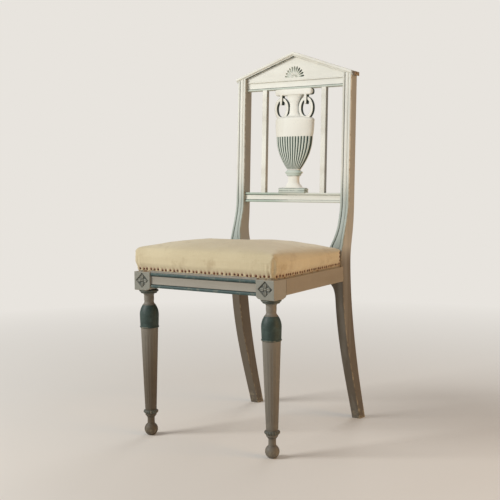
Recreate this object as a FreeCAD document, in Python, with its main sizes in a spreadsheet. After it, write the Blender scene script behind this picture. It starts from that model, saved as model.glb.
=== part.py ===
import FreeCAD, Part
import math
import os
import re
import Sketcher
from FreeCAD import Matrix, Placement, Rotation, Vector

# A painted side chair with a pediment crest, an urn splat, turned front legs and a stuffed seat.
# Millimetres. X runs to the right of someone facing the chair, Y runs from front to back, Z is up.
# The origin is on the floor, under the middle of the chair's box.

os.makedirs("parts", exist_ok=True)
document = FreeCAD.newDocument("side_chair")

# Driving sizes, one named cell each
SIZES = {
    "overall_height": 940,
    "chair_depth": 463,
    "front_width": 404,
    "back_width": 344,
    # turned front legs
    "block_size": 49,
    "block_foot": 355.5,
    "block_ogee": 26,
    "ball_height": 29,
    "ball_radius": 16.3,
    "ankle_length": 16,
    "ankle_radius": 9,
    "knop_height": 18,
    "knop_radius": 17,
    "shaft_foot_radius": 13.4,
    "shaft_top_radius": 21,
    "bulb_height": 56,
    "bulb_radius": 22.8,
    "neck_length": 26.7,
    "neck_radius": 11.8,
    "flange_height": 8.5,
    "flange_radius": 23,
    "petal_length": 15,
    "petal_width": 8.5,
    "petal_depth": 1.5,
    # seat frame
    "rail_lift": 7.5,
    "rail_show": 37,
    "rail_hidden": 24,
    "rail_thick": 22,
    "rail_setback": 4,
    "cover_rebate": 4.2,
    "bead_height": 6.5,
    "rear_rail_thick": 20,
    "rear_rail_inset": 5,
    "tenon_thick": 9,
    "tenon_length": 20,
    "tenon_shoulder": 6,
    "tenon_gap": 0.1,
    "tenon_end_gap": 0.5,
    "corner_block_reach": 42,
    "corner_block_height": 34,
    "corner_block_drop": 6,
    "screw_radius": 2,
    "screw_head_radius": 4,
    "screw_head_height": 2.6,
    "screw_bite": 14,
    "screw_gap": 0.1,
    # rear legs and back
    "post_width": 24.5,
    "post_depth": 30,
    "seat_swell": 12.5,
    "leg_front": 118.5,
    "leg_rear": 156.5,
    "foot_front": 204.7,
    "flare_front": 109.3,
    "shoulder_reach": 12,
    "shoulder_height": 40,
    "lean": 2.54,
    "crossrail_share": 0.33426,
    "back_line": 146.3,
    "crossrail_height": 25,
    "crossrail_recess": 6,
    "crossrail_thick": 18,
    "architrave_height": 25,
    "eaves_cover": 8.8,
    "architrave_recess": 8,
    "architrave_thick": 18,
    "back_bead": 5,
    "back_bead_rise": 1.8,
    "back_tenon_thick": 8,
    "back_tenon_length": 15,
    "groove_width": 1.6,
    "groove_depth": 1.4,
    "post_bead": 6.4,
    "panel_recess": 9.5,
    "panel_thick": 13,
    "tongue_thick": 5,
    "tongue_depth": 6,
    "pediment_rise": 59.5,
    "cornice_thick": 9.6,
    "cornice_overhang": 5.6,
    "cornice_proud": 1.2,
    "fan_radius": 30,
    "fan_lift": 4,
    "fan_ray_radius": 2.5,
    "bar_offset": 90,
    "bar_width": 14.5,
    "bar_depth": 11,
    "bar_recess": 7,
    "bar_tenon": 8,
    # urn splat
    "urn_recess": 12,
    "urn_board": 8,
    "urn_relief": 8,
    "urn_reed_depth": 1.8,
    "urn_plinth_width": 84,
    "urn_plinth_height": 10,
    "urn_foot_height": 17,
    "urn_stem_width": 29,
    "urn_collar_share": 0.1876,
    "urn_collar_width": 47,
    "urn_body_share": 0.2214,
    "urn_band_share": 0.5441,
    "urn_band_width": 107,
    "urn_shoulder_share": 0.7167,
    "urn_shoulder_width": 114,
    "urn_neck_width": 28,
    "urn_lip_height": 17,
    "urn_lip_width": 108,
    "ring_offset": 36.5,
    "ring_height": 58,
    "ring_width": 44,
    "ring_tube": 8,
    "ring_thick": 10,
    "strap_width": 8,
    "strap_drop": 20,
    # seat stuffing and cover
    "cover_foot_lift": 3.5,
    "cover_thick": 1.2,
    "soft_gap": 0.3,
    "side_rise": 41,
    "crown_rise": 28,
    "crown_fall": 21,
    "pad_corner": 12,
    "web_width": 50,
    "web_thick": 1.5,
    "web_pitch": 86,
    "web_margin": 9,
    "hessian_thick": 1,
    "hessian_margin": 7,
    "tack_head_radius": 2.6,
    "tack_head_height": 0.9,
    "tack_shank": 1.4,
    "tack_length": 9,
    "tack_gap": 0.08,
    "tack_lift": 4,
    "tack_spacing": 11.6,
}

# Sizes and levels that follow from the driving ones
DERIVED = {
    "block_half": "block_size / 2",
    "leg_x": "front_width / 2 - block_half",
    "front_y": "-chair_depth / 2",
    "heel_y": "chair_depth / 2",
    "leg_y": "front_y + block_half",
    "block_inner": "front_width / 2 - block_size",
    "block_back": "front_y + block_size",
    "shaft_top": "block_foot - flange_height - neck_length - bulb_height",
    "bulb_top": "block_foot - flange_height - neck_length",
    "flange_foot": "block_foot - flange_height",
    "knop_foot": "ball_height + ankle_length",
    "knop_top": "knop_foot + knop_height",
    "rail_foot": "block_foot + rail_lift",
    "show_top": "rail_foot + rail_show",
    "frame_top": "show_top + rail_hidden",
    "tenon_foot": "rail_foot + tenon_shoulder",
    "tenon_height": "rail_show + rail_hidden - 2 * tenon_shoulder",
    "front_rail_face": "front_y + rail_setback",
    "front_rail_back": "front_rail_face + rail_thick",
    "front_tenon_y": "front_rail_face + rail_thick / 2 - tenon_thick / 2",
    "wood_front": "front_y + cover_rebate",
    "post_outer": "back_width / 2",
    "post_inner": "post_outer - post_width",
    "seat_inner": "post_inner - seat_swell",
    "splay": "(front_width / 2 - post_outer) / (leg_front - block_back)",
    "rear_rail_back": "leg_rear - rear_rail_inset",
    "rear_rail_front": "rear_rail_back - rear_rail_thick",
    "rear_tenon_y": "rear_rail_front + rear_rail_thick / 2 - tenon_thick / 2",
    "side_front_tenon_x": "front_width / 2 - rail_thick / 2 - tenon_thick / 2",
    "side_rear_tenon_x": "post_outer - rail_thick / 2 - tenon_thick / 2",
    "shoulder_front": "flare_front - shoulder_reach",
    "crossrail_level": "show_top + crossrail_share * (overall_height - show_top)",
    "eaves_height": "overall_height - pediment_rise",
    "back_opening": "(eaves_height - crossrail_level) / cos(lean) - architrave_height - eaves_cover",
    "architrave_top": "back_opening + architrave_height",
    "block_drop_level": "frame_top - corner_block_drop - corner_block_height",
    "hessian_foot": "frame_top + 2 * web_thick",
    "stuffing_foot": "hessian_foot + hessian_thick",
    "cover_foot": "show_top + cover_foot_lift",
    "pad_shoulder": "show_top + side_rise",
    "urn_height": "back_opening",
    "urn_collar_level": "urn_collar_share * urn_height",
    "urn_body_level": "urn_body_share * urn_height",
    "urn_band_level": "urn_band_share * urn_height",
    "urn_shoulder_level": "urn_shoulder_share * urn_height",
}

PICK_NAME = re.compile(r"[a-z][a-z_]+")
FUNCTIONS = ("sqrt", "tan", "cos", "sin", "atan", "abs", "min", "max")


def formula(text):
    """The sheet expression for a plain formula: sizes get the sheet's name, derived sizes are opened."""

    def spell(match):
        name = match.group(0)
        if name in SIZES:
            return "Sizes." + name
        if name in DERIVED:
            return "(" + formula(DERIVED[name]) + ")"
        if name in FUNCTIONS:
            return name
        raise KeyError(name)

    return PICK_NAME.sub(spell, text)


sheet = document.addObject("Spreadsheet::Sheet", "Sizes")
for row, (name, size) in enumerate(SIZES.items(), start=1):
    sheet.set(f"A{row}", name)
    sheet.set(f"B{row}", str(size))
    sheet.setAlias(f"B{row}", name)
document.recompute()


def length(text):
    """The value of a plain formula, in millimetres or degrees."""
    return float(sheet.evalExpression(formula(text)))


nodes = []


def keep(part, label):
    """Mark a finished sub-part: its label names its file."""
    part.Label = label
    nodes.append(part)
    return part


# Building blocks: outlines, pads, boxes and joints


def origin_plane(body, role):
    return next(item for item in body.Origin.OriginFeatures if item.Role == role)


def add_outline(sketch, corners):
    """Close one outline through corners (across, up) or (across, up, bulge).

    Each corner is bound to the sheet. A bulge bends the edge to the next corner into an arc: it is
    the arc's rise over its chord, and it is positive where the arc swells to the right of the way."""
    count = len(corners)
    first = sketch.GeometryCount
    spots = []
    for corner in corners:
        spots.append(Vector(length(corner[0]), length(corner[1]), 0))
    ends = []
    for index, corner in enumerate(corners):
        start = spots[index]
        stop = spots[(index + 1) % count]
        bulge = corner[2] if len(corner) > 2 else 0
        if bulge:
            run = stop - start
            middle = (start + stop) / 2 + Vector(run.y, -run.x, 0) * bulge
            sketch.addGeometry(Part.Arc(start, middle, stop), False)
        else:
            sketch.addGeometry(Part.LineSegment(start, stop), False)
        head = sketch.getPoint(first + index, 1)
        ends.append((1, 2) if head.distanceToPoint(start) < 1e-6 else (2, 1))
    for index, corner in enumerate(corners):
        following = (index + 1) % count
        here = first + index
        sketch.addConstraint(Sketcher.Constraint(
            "Coincident", here, ends[index][1], first + following, ends[following][0]))
        for kind, text, place in (("DistanceX", corner[0], spots[index].x),
                                  ("DistanceY", corner[1], spots[index].y)):
            rule = sketch.addConstraint(Sketcher.Constraint(kind, -1, 1, here, ends[index][0], place))
            sketch.setExpression(f"Constraints[{rule}]", formula(text))
        if len(corner) > 2 and corner[2]:
            other = corners[following]
            rise = abs(corner[2])
            across = f"(({other[0]}) - ({corner[0]}))"
            upward = f"(({other[1]}) - ({corner[1]}))"
            radius = f"sqrt({across} ^ 2 + {upward} ^ 2) * {0.125 / rise + 0.5 * rise}"
            rule = sketch.addConstraint(Sketcher.Constraint("Radius", here, length(radius)))
            sketch.setExpression(f"Constraints[{rule}]", formula(radius))


def add_sketch(body, plane, outlines, offset="0"):
    sketch = body.newObject("Sketcher::SketchObject", body.Name + "_outline")
    sketch.AttachmentSupport = [(origin_plane(body, plane), "")]
    sketch.MapMode = "FlatFace"
    sketch.setExpression("AttachmentOffset.Base.z", formula(offset))
    for corners in outlines:
        add_outline(sketch, corners)
    return sketch


def add_pad(body, plane, corners, height, offset="0", symmetric=False):
    """Pad an outline; symmetric pads run to both sides of their plane."""
    sketch = add_sketch(body, plane, [corners], offset)
    pad = body.newObject("PartDesign::Pad", body.Name + "_pad")
    pad.Profile = sketch
    pad.setExpression("Length", formula(height))
    pad.SideType = "Symmetric" if symmetric else "One side"
    document.recompute()
    return pad


def add_pocket(body, plane, outlines, depth, offset="0", upside_down=False):
    """Pocket outlines into the body, and stop if nothing was cut."""
    before = body.Shape.Volume
    sketch = add_sketch(body, plane, outlines, offset)
    pocket = body.newObject("PartDesign::Pocket", body.Name + "_pocket")
    pocket.Profile = sketch
    pocket.setExpression("Length", formula(depth))
    pocket.Reversed = upside_down
    document.recompute()
    if body.Shape.Volume > before - 1:
        raise RuntimeError(f"{body.Name}: a pocket cut nothing")
    return pocket


def new_body(name):
    return document.addObject("PartDesign::Body", name)


def rectangle(low_x, low_y, wide, tall):
    """Four corners of a rectangle, as formulas."""
    return [(low_x, low_y), (f"{low_x} + {wide}", low_y),
            (f"{low_x} + {wide}", f"{low_y} + {tall}"), (low_x, f"{low_y} + {tall}")]


def box(name, corner, size):
    """A box whose low corner and size are formulas."""
    part = document.addObject("Part::Box", name)
    for field, text in zip(("x", "y", "z"), corner):
        part.setExpression("Placement.Base." + field, formula(text))
    for field, text in zip(("Length", "Width", "Height"), size):
        part.setExpression(field, formula(text))
    return part


def feature(name, shape):
    part = document.addObject("Part::Feature", name)
    part.Shape = shape
    return part


def cut(name, base, tools):
    """Cut a list of tools out of a base."""
    if len(tools) > 1:
        tool = document.addObject("Part::MultiFuse", name + "_cutters")
        tool.Shapes = tools
    else:
        tool = tools[0]
    result = document.addObject("Part::Cut", name)
    result.Base = base
    result.Tool = tool
    return result


def mirror_image(source, name):
    """The same piece on the left, by mirroring the right one across the middle of the chair."""
    part = document.addObject("Part::Mirroring", name)
    part.Source = source
    part.Normal = Vector(1, 0, 0)
    return part


def mirrored(source, label):
    return keep(mirror_image(source, label), label)


def mortise_box(name, corner, size, way):
    """The hole for a tenon: the tenon's box, grown by the glue gap, and deeper at its blind end.

    way is the axis along which the tenon goes in, and its sign."""
    axis = "XYZ".index(way[-1])
    low = []
    extent = []
    for index in range(3):
        if index == axis:
            start = f"{corner[index]} - tenon_end_gap" if way[0] == "-" else corner[index]
            low.append(start)
            extent.append(f"{size[index]} + tenon_end_gap")
        else:
            low.append(f"{corner[index]} - tenon_gap")
            extent.append(f"{size[index]} + 2 * tenon_gap")
    return box(name, low, extent)


# The side of the seat: it runs from the front block to the rear leg, and leans inwards as it goes


def side_x(y_text, inset="0"):
    """X of the seat's right side at a place along the chair, as a formula."""
    return f"(front_width / 2 - splay * (({y_text}) - block_back) - ({inset}))"


# Tacks: a round head on the cloth and a square shank in the wood. Their places are uneven, as
# they are by hand, from two slow waves that never line up.


def uneven(index, size):
    return size * (0.6 * math.sin(2.4 * index) + 0.4 * math.sin(5.7 * index + 1))


def tack_solid(spot, outward):
    """One tack at a spot on the cloth's outer face."""
    head = Part.makeCone(length("tack_head_radius"), 0.72 * length("tack_head_radius"),
                         length("tack_head_height"), spot, outward)
    return head.fuse(shank_solid(spot, outward, 0))


def shank_solid(spot, outward, gap):
    side = length("tack_shank") + 2 * gap
    deep = length("tack_length") + gap
    shank = Part.makeBox(side, side, deep, Vector(-side / 2, -side / 2, -deep))
    shank.Placement = Placement(spot, Rotation(Vector(0, 0, 1), outward))
    return shank


def side_spots(y_list, z_list):
    inset = length("cover_rebate - soft_gap - cover_thick")
    spots = []
    slope = length("splay")
    for y, z in zip(y_list, z_list):
        if y < length("block_back"):
            x = length("front_width / 2") - inset
        else:
            x = length("front_width / 2") - slope * (y - length("block_back")) - inset
        spots.append(Vector(x, y, z))
    return spots


def tack_rows():
    """Spots and outward ways of the tacks: front, right side and back."""
    z_row = length("cover_foot + tack_lift")
    spacing = length("tack_spacing")
    rows = {}
    # how far a tack may stray along its row and up or down; each row starts the waves elsewhere
    front_stray = 2.2
    side_stray = 1.6
    level_stray = 1.1
    reach = length("front_width / 2 - cover_rebate - pad_corner")
    count = int(2 * reach / spacing)
    face = length("wood_front - soft_gap - cover_thick")
    spots = []
    for index in range(count + 1):
        x = -reach + 2 * reach * index / count + uneven(index, front_stray)
        spots.append(Vector(min(max(x, -reach), reach), face, z_row + uneven(index + 40, level_stray)))
    rows["front"] = [(spot, Vector(0, -1, 0)) for spot in spots]
    low = length("wood_front + pad_corner")
    high = length("flare_front - 9")
    y_list = []
    z_list = []
    count = int((high - low) / spacing)
    knuckle = length("block_back")
    for index in range(count + 1):
        y = low + (high - low) * index / count + uneven(index + 7, side_stray)
        # no tack stands on the line between the block and the rail
        if abs(y - knuckle) < 5:
            y = knuckle + 5
        y_list.append(min(y, high))
        z_list.append(z_row + uneven(index + 60, level_stray))
    for step in range(1, 4):
        y_list.append(length("flare_front - 6"))
        z_list.append(z_row + step * length("(shoulder_height - tack_lift) / 4"))
    slope = math.atan(length("splay"))
    straight = Vector(1, 0, 0)
    leaning = Vector(math.cos(slope), math.sin(slope), 0)
    rows["right"] = []
    for spot in side_spots(y_list, z_list):
        rows["right"].append((spot, straight if spot.y < knuckle else leaning))
    reach = length("seat_inner - 10")
    face = length("rear_rail_back + soft_gap + cover_thick")
    count = int(2 * reach / (1.4 * spacing))
    rows["rear"] = []
    for index in range(count + 1):
        x = -reach + 2 * reach * index / count
        spot = Vector(x, face, z_row + uneven(index + 20, level_stray))
        rows["rear"].append((spot, Vector(0, 1, 0)))
    rows["left"] = []
    for spot, way in rows["right"]:
        rows["left"].append((Vector(-spot.x, spot.y, spot.z), Vector(-way.x, way.y, way.z)))
    return rows


tack_places = tack_rows()


def tack_holes(name, sides):
    """The square holes that the shanks of some rows stand in."""
    holes = []
    for side in sides:
        for spot, way in tack_places[side]:
            holes.append(shank_solid(spot, way, length("tack_gap")))
    return feature(name, Part.makeCompound(holes))


# Turned front leg: ball foot, ankle, carved knop, tapering shaft, bulb, neck and flange under a block

leg = new_body("front_leg")
turning = add_sketch(leg, "XZ_Plane", [[
    ("0", "0"),
    ("ball_radius * 0.42", "0", 0.29),
    ("ankle_radius", "ball_height", -0.03),
    ("ankle_radius", "knop_foot"),
    ("ankle_radius + 1.5", "knop_foot + 1"),
    ("knop_radius - 2.4", "knop_top - 9.5"),
    ("knop_radius - 2.4", "knop_top - 8.6", 0.3),
    ("knop_radius - 2.4", "knop_top - 0.8"),
    ("shaft_foot_radius", "knop_top"),
    ("shaft_top_radius", "shaft_top", 0.25),
    ("bulb_radius - 0.6", "shaft_top + 4"),
    ("bulb_radius - 0.8", "shaft_top + 5"),
    ("bulb_radius", "bulb_top - 22", 0.16),
    ("neck_radius + 4.4", "bulb_top - 2.6", -0.12),
    ("neck_radius", "bulb_top + 9"),
    ("neck_radius + 0.4", "flange_foot - 9", -0.12),
    ("neck_radius + 2.4", "flange_foot - 0.6"),
    ("flange_radius - 4.4", "flange_foot", 0.25),
    ("flange_radius - 3.6", "flange_foot + 3"),
    ("flange_radius - 0.8", "flange_foot + 3.2", 0.25),
    ("flange_radius - 0.8", "block_foot"),
    ("0", "block_foot"),
]])
revolution = leg.newObject("PartDesign::Revolution", "front_leg_turning")
revolution.Profile = turning
revolution.ReferenceAxis = (turning, ["V_Axis"])
revolution.Angle = 360
document.recompute()
add_pad(leg, "YZ_Plane", [
    ("-block_half", "block_foot"),
    ("block_half - block_ogee", "block_foot", -0.1),
    ("block_half - block_ogee * 0.4", "block_foot + rail_lift * 0.45", 0.12),
    ("block_half", "rail_foot"),
    ("block_half", "show_top"),
    ("-block_half", "show_top"),
], "block_size", symmetric=True)
# above the show wood the block is cut back for the cover, and its outer corner is a quarter round
QUARTER = (1 - math.cos(math.radians(45))) / (2 * math.sin(math.radians(45)))
add_pad(leg, "XY_Plane", [
    ("-block_half", "-block_half + cover_rebate"),
    ("block_half - cover_rebate - pad_corner", "-block_half + cover_rebate", QUARTER),
    ("block_half - cover_rebate", "-block_half + cover_rebate + pad_corner"),
    ("block_half - cover_rebate", "block_half"),
    ("-block_half", "block_half"),
], "rail_hidden", offset="show_top")
leg.setExpression("Placement.Base.x", formula("leg_x"))
leg.setExpression("Placement.Base.y", formula("leg_y"))


def flower_cutter():
    """Four pointed petals and the ring between them, sunk into the block's front face."""
    reach = length("petal_length")
    half = length("petal_width") / 2
    deep = length("petal_depth")
    radius = (reach * reach / 4 + half * half) / (2 * half)
    petal = Part.makeCylinder(radius, deep, Vector(radius - half, 0, 0))
    petal = petal.common(Part.makeCylinder(radius, deep, Vector(half - radius, 0, 0)))
    petal.translate(Vector(0, reach / 2 + 2.6, 0))
    tools = []
    for quarter in range(4):
        turned = petal.copy()
        turned.rotate(Vector(0, 0, 0), Vector(0, 0, 1), 90 * quarter)
        tools.append(turned)
    flower = Part.makeCompound(tools)
    middle = Vector(length("leg_x"), length("front_y"), length("(rail_foot + show_top) / 2"))
    flower.Placement = Placement(middle, Rotation(Vector(1, 0, 0), -90))
    return flower


front_tenon_corner = ("block_inner", "front_tenon_y", "tenon_foot")
front_tenon_size = ("tenon_length", "tenon_thick", "tenon_height")
side_front_corner = ("side_front_tenon_x", "block_back - tenon_length", "tenon_foot")
side_front_size = ("tenon_thick", "tenon_length", "tenon_height")
carved_leg = cut("carved_leg_right", leg, [
    mortise_box("front_leg_front_mortise", front_tenon_corner, front_tenon_size, "+X"),
    mortise_box("front_leg_side_mortise", side_front_corner, side_front_size, "-Y"),
    feature("block_flower", flower_cutter()),
])
document.recompute()
keep(cut("front_leg_right", carved_leg, [tack_holes("right_leg_tack_holes", ["front", "right"])]),
     "front_leg_right")
keep(cut("front_leg_left", mirror_image(carved_leg, "carved_leg_left"),
         [tack_holes("left_leg_tack_holes", ["front", "left"])]), "front_leg_left")

# Front rail: a half round bead along its lower and upper edge, hidden wood above for the cover

rail = new_body("front_rail_body")
add_pad(rail, "YZ_Plane", [
    ("front_rail_back", "rail_foot"),
    ("front_rail_back", "frame_top"),
    ("front_rail_face", "frame_top"),
    ("front_rail_face", "show_top", -0.3),
    ("front_rail_face", "show_top - bead_height"),
    ("front_rail_face", "rail_foot + bead_height", -0.3),
    ("front_rail_face", "rail_foot"),
], "2 * block_inner", symmetric=True)
add_pad(rail, "YZ_Plane", rectangle("front_tenon_y", "tenon_foot", "tenon_thick", "tenon_height"),
        "2 * block_inner + 2 * tenon_length", symmetric=True)


def screw_plan():
    """Each corner block's two screws: the head's spot and the way it is driven, on the right.

    The spots are shares of the block's reach, so that the two screws of a block pass each other."""
    level = length("block_drop_level + corner_block_height / 2")
    reach = length("corner_block_reach")
    front = Vector(length("block_inner") - reach * 0.42, length("front_rail_back") + reach * 0.5, level - 6)
    front_side = Vector(length(side_x("block_back", "rail_thick")) - reach * 0.5,
                        length("block_back") + reach * 0.4, level - 9)
    rear = Vector(length("seat_inner") - reach * 0.36, length("rear_rail_front") - reach * 0.4, level - 6)
    rear_side_y = "leg_front - corner_block_reach * 0.72"
    rear_side = Vector(length(side_x(rear_side_y, "rail_thick")) - reach * 0.24,
                       length(rear_side_y), level - 9)
    return {
        "front": (front, Vector(0, -1, 0)),
        "front_side": (front_side, Vector(1, 0, 0)),
        "rear": (rear, Vector(0, 1, 0)),
        "rear_side": (rear_side, Vector(1, 0, 0)),
    }


screws = screw_plan()


def screw_length(key):
    """From the head's seat through the block and into the rail."""
    spot, way = screws[key]
    if key == "front":
        return spot.y - length("front_rail_back") + length("screw_bite")
    if key == "rear":
        return length("rear_rail_front") - spot.y + length("screw_bite")
    wall = length(side_x(str(round(spot.y, 6)), "rail_thick"))
    return wall - spot.x + length("screw_bite")


def screw_solid(key, gap):
    """A countersunk wood screw, or with a gap the hole that it stands in."""
    spot, way = screws[key]
    shank = Part.makeCylinder(length("screw_radius") + gap, screw_length(key) + gap, spot, way)
    head = Part.makeCone(length("screw_head_radius") + gap, length("screw_radius") + gap,
                         length("screw_head_height"), spot, way)
    solid = shank.fuse(head)
    if gap:
        access = Part.makeCylinder(length("screw_head_radius") + gap, length("corner_block_reach"),
                                   spot, way * -1)
        solid = solid.fuse(access)
    return solid


def across_middle(shape):
    return shape.mirror(Vector(0, 0, 0), Vector(1, 0, 0))


def screw_holes(name, keys, both_sides):
    holes = []
    for key in keys:
        hole = screw_solid(key, length("screw_gap"))
        holes.append(hole)
        if both_sides:
            holes.append(across_middle(hole))
    return feature(name, Part.makeCompound(holes))


keep(cut("front_rail", rail, [
    tack_holes("front_rail_tack_holes", ["front"]),
    screw_holes("front_rail_screw_holes", ["front"], True),
]), "front_rail")

# Side rails: plain outside, flush with the block and the rear leg, splayed in plan

side = new_body("side_rail_body")
add_pad(side, "XY_Plane", [
    ("front_width / 2 - rail_thick", "block_back"),
    ("front_width / 2", "block_back"),
    ("post_outer", "leg_front"),
    ("post_outer - rail_thick", "leg_front"),
], "rail_show", offset="rail_foot")
add_pad(side, "XY_Plane", [
    ("front_width / 2 - rail_thick", "block_back"),
    ("front_width / 2 - cover_rebate", "block_back"),
    (side_x("shoulder_front - tenon_gap", "cover_rebate"), "shoulder_front - tenon_gap"),
    (side_x("shoulder_front - tenon_gap", "rail_thick"), "shoulder_front - tenon_gap"),
], "rail_hidden", offset="show_top")
add_pad(side, "XY_Plane",
        rectangle("side_front_tenon_x", "block_back - tenon_length", "tenon_thick", "tenon_length + 4"),
        "tenon_height", offset="tenon_foot")
side_rear_height = "rail_show - 2 * tenon_shoulder"
add_pad(side, "XY_Plane",
        rectangle("side_rear_tenon_x", "leg_front - 4", "tenon_thick", "tenon_length + 4"),
        side_rear_height, offset="tenon_foot")
side_rail_right = keep(cut("side_rail_right", side, [
    tack_holes("side_rail_tack_holes", ["right"]),
    screw_holes("side_rail_screw_holes", ["front_side", "rear_side"], False),
]), "side_rail_right")
mirrored(side_rail_right, "side_rail_left")

# Rear rail between the rear legs

rear = new_body("rear_rail_body")
add_pad(rear, "YZ_Plane",
        rectangle("rear_rail_front", "rail_foot", "rear_rail_thick", "rail_show + rail_hidden"),
        "2 * seat_inner", symmetric=True)
add_pad(rear, "YZ_Plane", rectangle("rear_tenon_y", "tenon_foot", "tenon_thick", "tenon_height"),
        "2 * seat_inner + 2 * tenon_length", symmetric=True)
keep(cut("rear_rail", rear, [
    tack_holes("rear_rail_tack_holes", ["rear"]),
    screw_holes("rear_rail_screw_holes", ["rear"], True),
]), "rear_rail")

# Corner blocks: glued and screwed inside the four corners, cut round the legs

front_block = new_body("front_corner_block")
block_limit = "block_back + corner_block_reach"
add_pad(front_block, "XY_Plane", [
    ("block_inner - corner_block_reach", "front_rail_back"),
    ("block_inner", "front_rail_back"),
    ("block_inner", "block_back"),
    (side_x("block_back", "rail_thick"), "block_back"),
    (side_x(block_limit, "rail_thick"), block_limit),
], "corner_block_height", offset="block_drop_level")
front_corner_right = keep(cut("corner_block_front_right", front_block, [
    screw_holes("front_block_screw_holes", ["front", "front_side"], False),
]), "corner_block_front_right")
mirrored(front_corner_right, "corner_block_front_left")

rear_block = new_body("rear_corner_block")
rear_limit = "leg_front - corner_block_reach"
add_pad(rear_block, "XY_Plane", [
    ("seat_inner - corner_block_reach", "rear_rail_front"),
    (side_x(rear_limit, "rail_thick"), rear_limit),
    (side_x("leg_front", "rail_thick"), "leg_front"),
    ("seat_inner", "leg_front"),
    ("seat_inner", "rear_rail_front"),
], "corner_block_height", offset="block_drop_level")
rear_corner_right = keep(cut("corner_block_rear_right", rear_block, [
    box("rear_block_shoulder_room",
        ("seat_inner - tenon_gap", "shoulder_front - tenon_gap", "show_top - tenon_gap"),
        ("post_outer - seat_inner + 2 * tenon_gap", "leg_front", "corner_block_height")),
    screw_holes("rear_block_screw_holes", ["rear", "rear_side"], False),
]), "corner_block_rear_right")
mirrored(rear_corner_right, "corner_block_rear_left")

screw_solids = []
for key in screws:
    screw = screw_solid(key, 0)
    screw_solids.append(screw)
    screw_solids.append(across_middle(screw))
keep(feature("corner_block_screws", Part.makeCompound(screw_solids)), "corner_block_screws")

# The back's members lie in a plane that leans back with the posts. They are drawn in a frame of
# their own: its origin is on the posts' front face, level with the top of the crossrail.


def back_place():
    return Placement(Vector(0, length("back_line"), length("crossrail_level")),
                     Rotation(Vector(1, 0, 0), -length("lean")))


def place_in_back(part):
    part.Placement = back_place()
    return part


def beaded_section(recess, thick, foot, tall):
    """Section of a back rail: a bead along both front edges, the field set back behind them."""
    face = f"({recess}) + back_bead_rise"
    back = f"({recess}) + ({thick})"
    top = f"({foot}) + ({tall})"
    return [
        (back, foot),
        (back, top),
        (face, top, -0.34),
        (face, f"{top} - back_bead"),
        (face, f"({foot}) + back_bead", -0.34),
        (face, foot),
    ]


def back_mortises():
    """Plan outlines of the mortises for the two bars and the urn."""
    outlines = []
    for offset in ("-bar_offset", "bar_offset"):
        outlines.append(rectangle(f"{offset} - bar_width / 2 + 3 - tenon_gap", "bar_recess + 2 - tenon_gap",
                                  "bar_width - 6 + 2 * tenon_gap", "bar_depth - 4 + 2 * tenon_gap"))
    outlines.append(rectangle("-urn_neck_width / 2 - tenon_gap", "urn_recess + 1 - tenon_gap",
                              "urn_neck_width + 2 * tenon_gap", "urn_board - 2 + 2 * tenon_gap"))
    return outlines


crossrail = new_body("crossrail")
add_pad(crossrail, "YZ_Plane", beaded_section("crossrail_recess", "crossrail_thick", "-crossrail_height",
                                              "crossrail_height"), "2 * post_inner", symmetric=True)
crossrail_tenon = ("crossrail_recess + 5", "-crossrail_height + tenon_shoulder", "back_tenon_thick",
                   "crossrail_height - 2 * tenon_shoulder")
add_pad(crossrail, "YZ_Plane", rectangle(*crossrail_tenon), "2 * post_inner + 2 * back_tenon_length",
        symmetric=True)
add_pocket(crossrail, "XY_Plane", back_mortises(), "bar_tenon + tenon_end_gap")
keep(place_in_back(crossrail), "crossrail")

architrave = new_body("architrave")
add_pad(architrave, "YZ_Plane", beaded_section("architrave_recess", "architrave_thick", "back_opening",
                                               "architrave_height"), "2 * post_inner", symmetric=True)
architrave_tenon = ("architrave_recess + 5", "back_opening + tenon_shoulder", "back_tenon_thick",
                    "architrave_height - 2 * tenon_shoulder")
add_pad(architrave, "YZ_Plane", rectangle(*architrave_tenon), "2 * post_inner + 2 * back_tenon_length",
        symmetric=True)
add_pocket(architrave, "XY_Plane", back_mortises(), "bar_tenon + tenon_end_gap",
           offset="back_opening", upside_down=True)
panel_middle = "panel_recess + panel_thick / 2"
add_pocket(architrave, "YZ_Plane", [rectangle(
    f"{panel_middle} - tongue_thick / 2 - tenon_gap", "architrave_top - tongue_depth - tenon_end_gap",
    "tongue_thick + 2 * tenon_gap", "tongue_depth + tenon_end_gap + 5")], "2 * post_inner + 2")
architrave.Tip.SideType = "Symmetric"
keep(place_in_back(architrave), "architrave")

# Pediment: the panel stands on the architrave with a tongue, the raking cornices lie on panel and
# posts. In the back's frame the chair's total height and eaves are a little longer than plumb.


def back_height(level):
    """Height along the leaning back of a level above the floor."""
    return (level - length("crossrail_level")) / math.cos(math.radians(length("lean")))


apex_top = back_height(length("overall_height")) - length("cornice_proud") * math.tan(
    math.radians(length("lean")))
eaves_top = back_height(length("eaves_height"))
half_span = length("post_outer + cornice_overhang")
rake = math.atan2(apex_top - eaves_top, half_span)
cornice_drop = length("cornice_thick") / math.cos(rake)


def rake_level(x):
    """Underside of the raking cornice at a distance from the middle."""
    return apex_top - cornice_drop - math.tan(rake) * abs(x)


def prism(points, low, high):
    """A solid with an outline in the X and Z of the back, from one depth to another."""
    corners = []
    for x, z in points:
        corners.append(Vector(x, low, z))
    face = Part.Face(Part.makePolygon(corners + corners[:1]))
    return face.extrude(Vector(0, high - low, 0))


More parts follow.
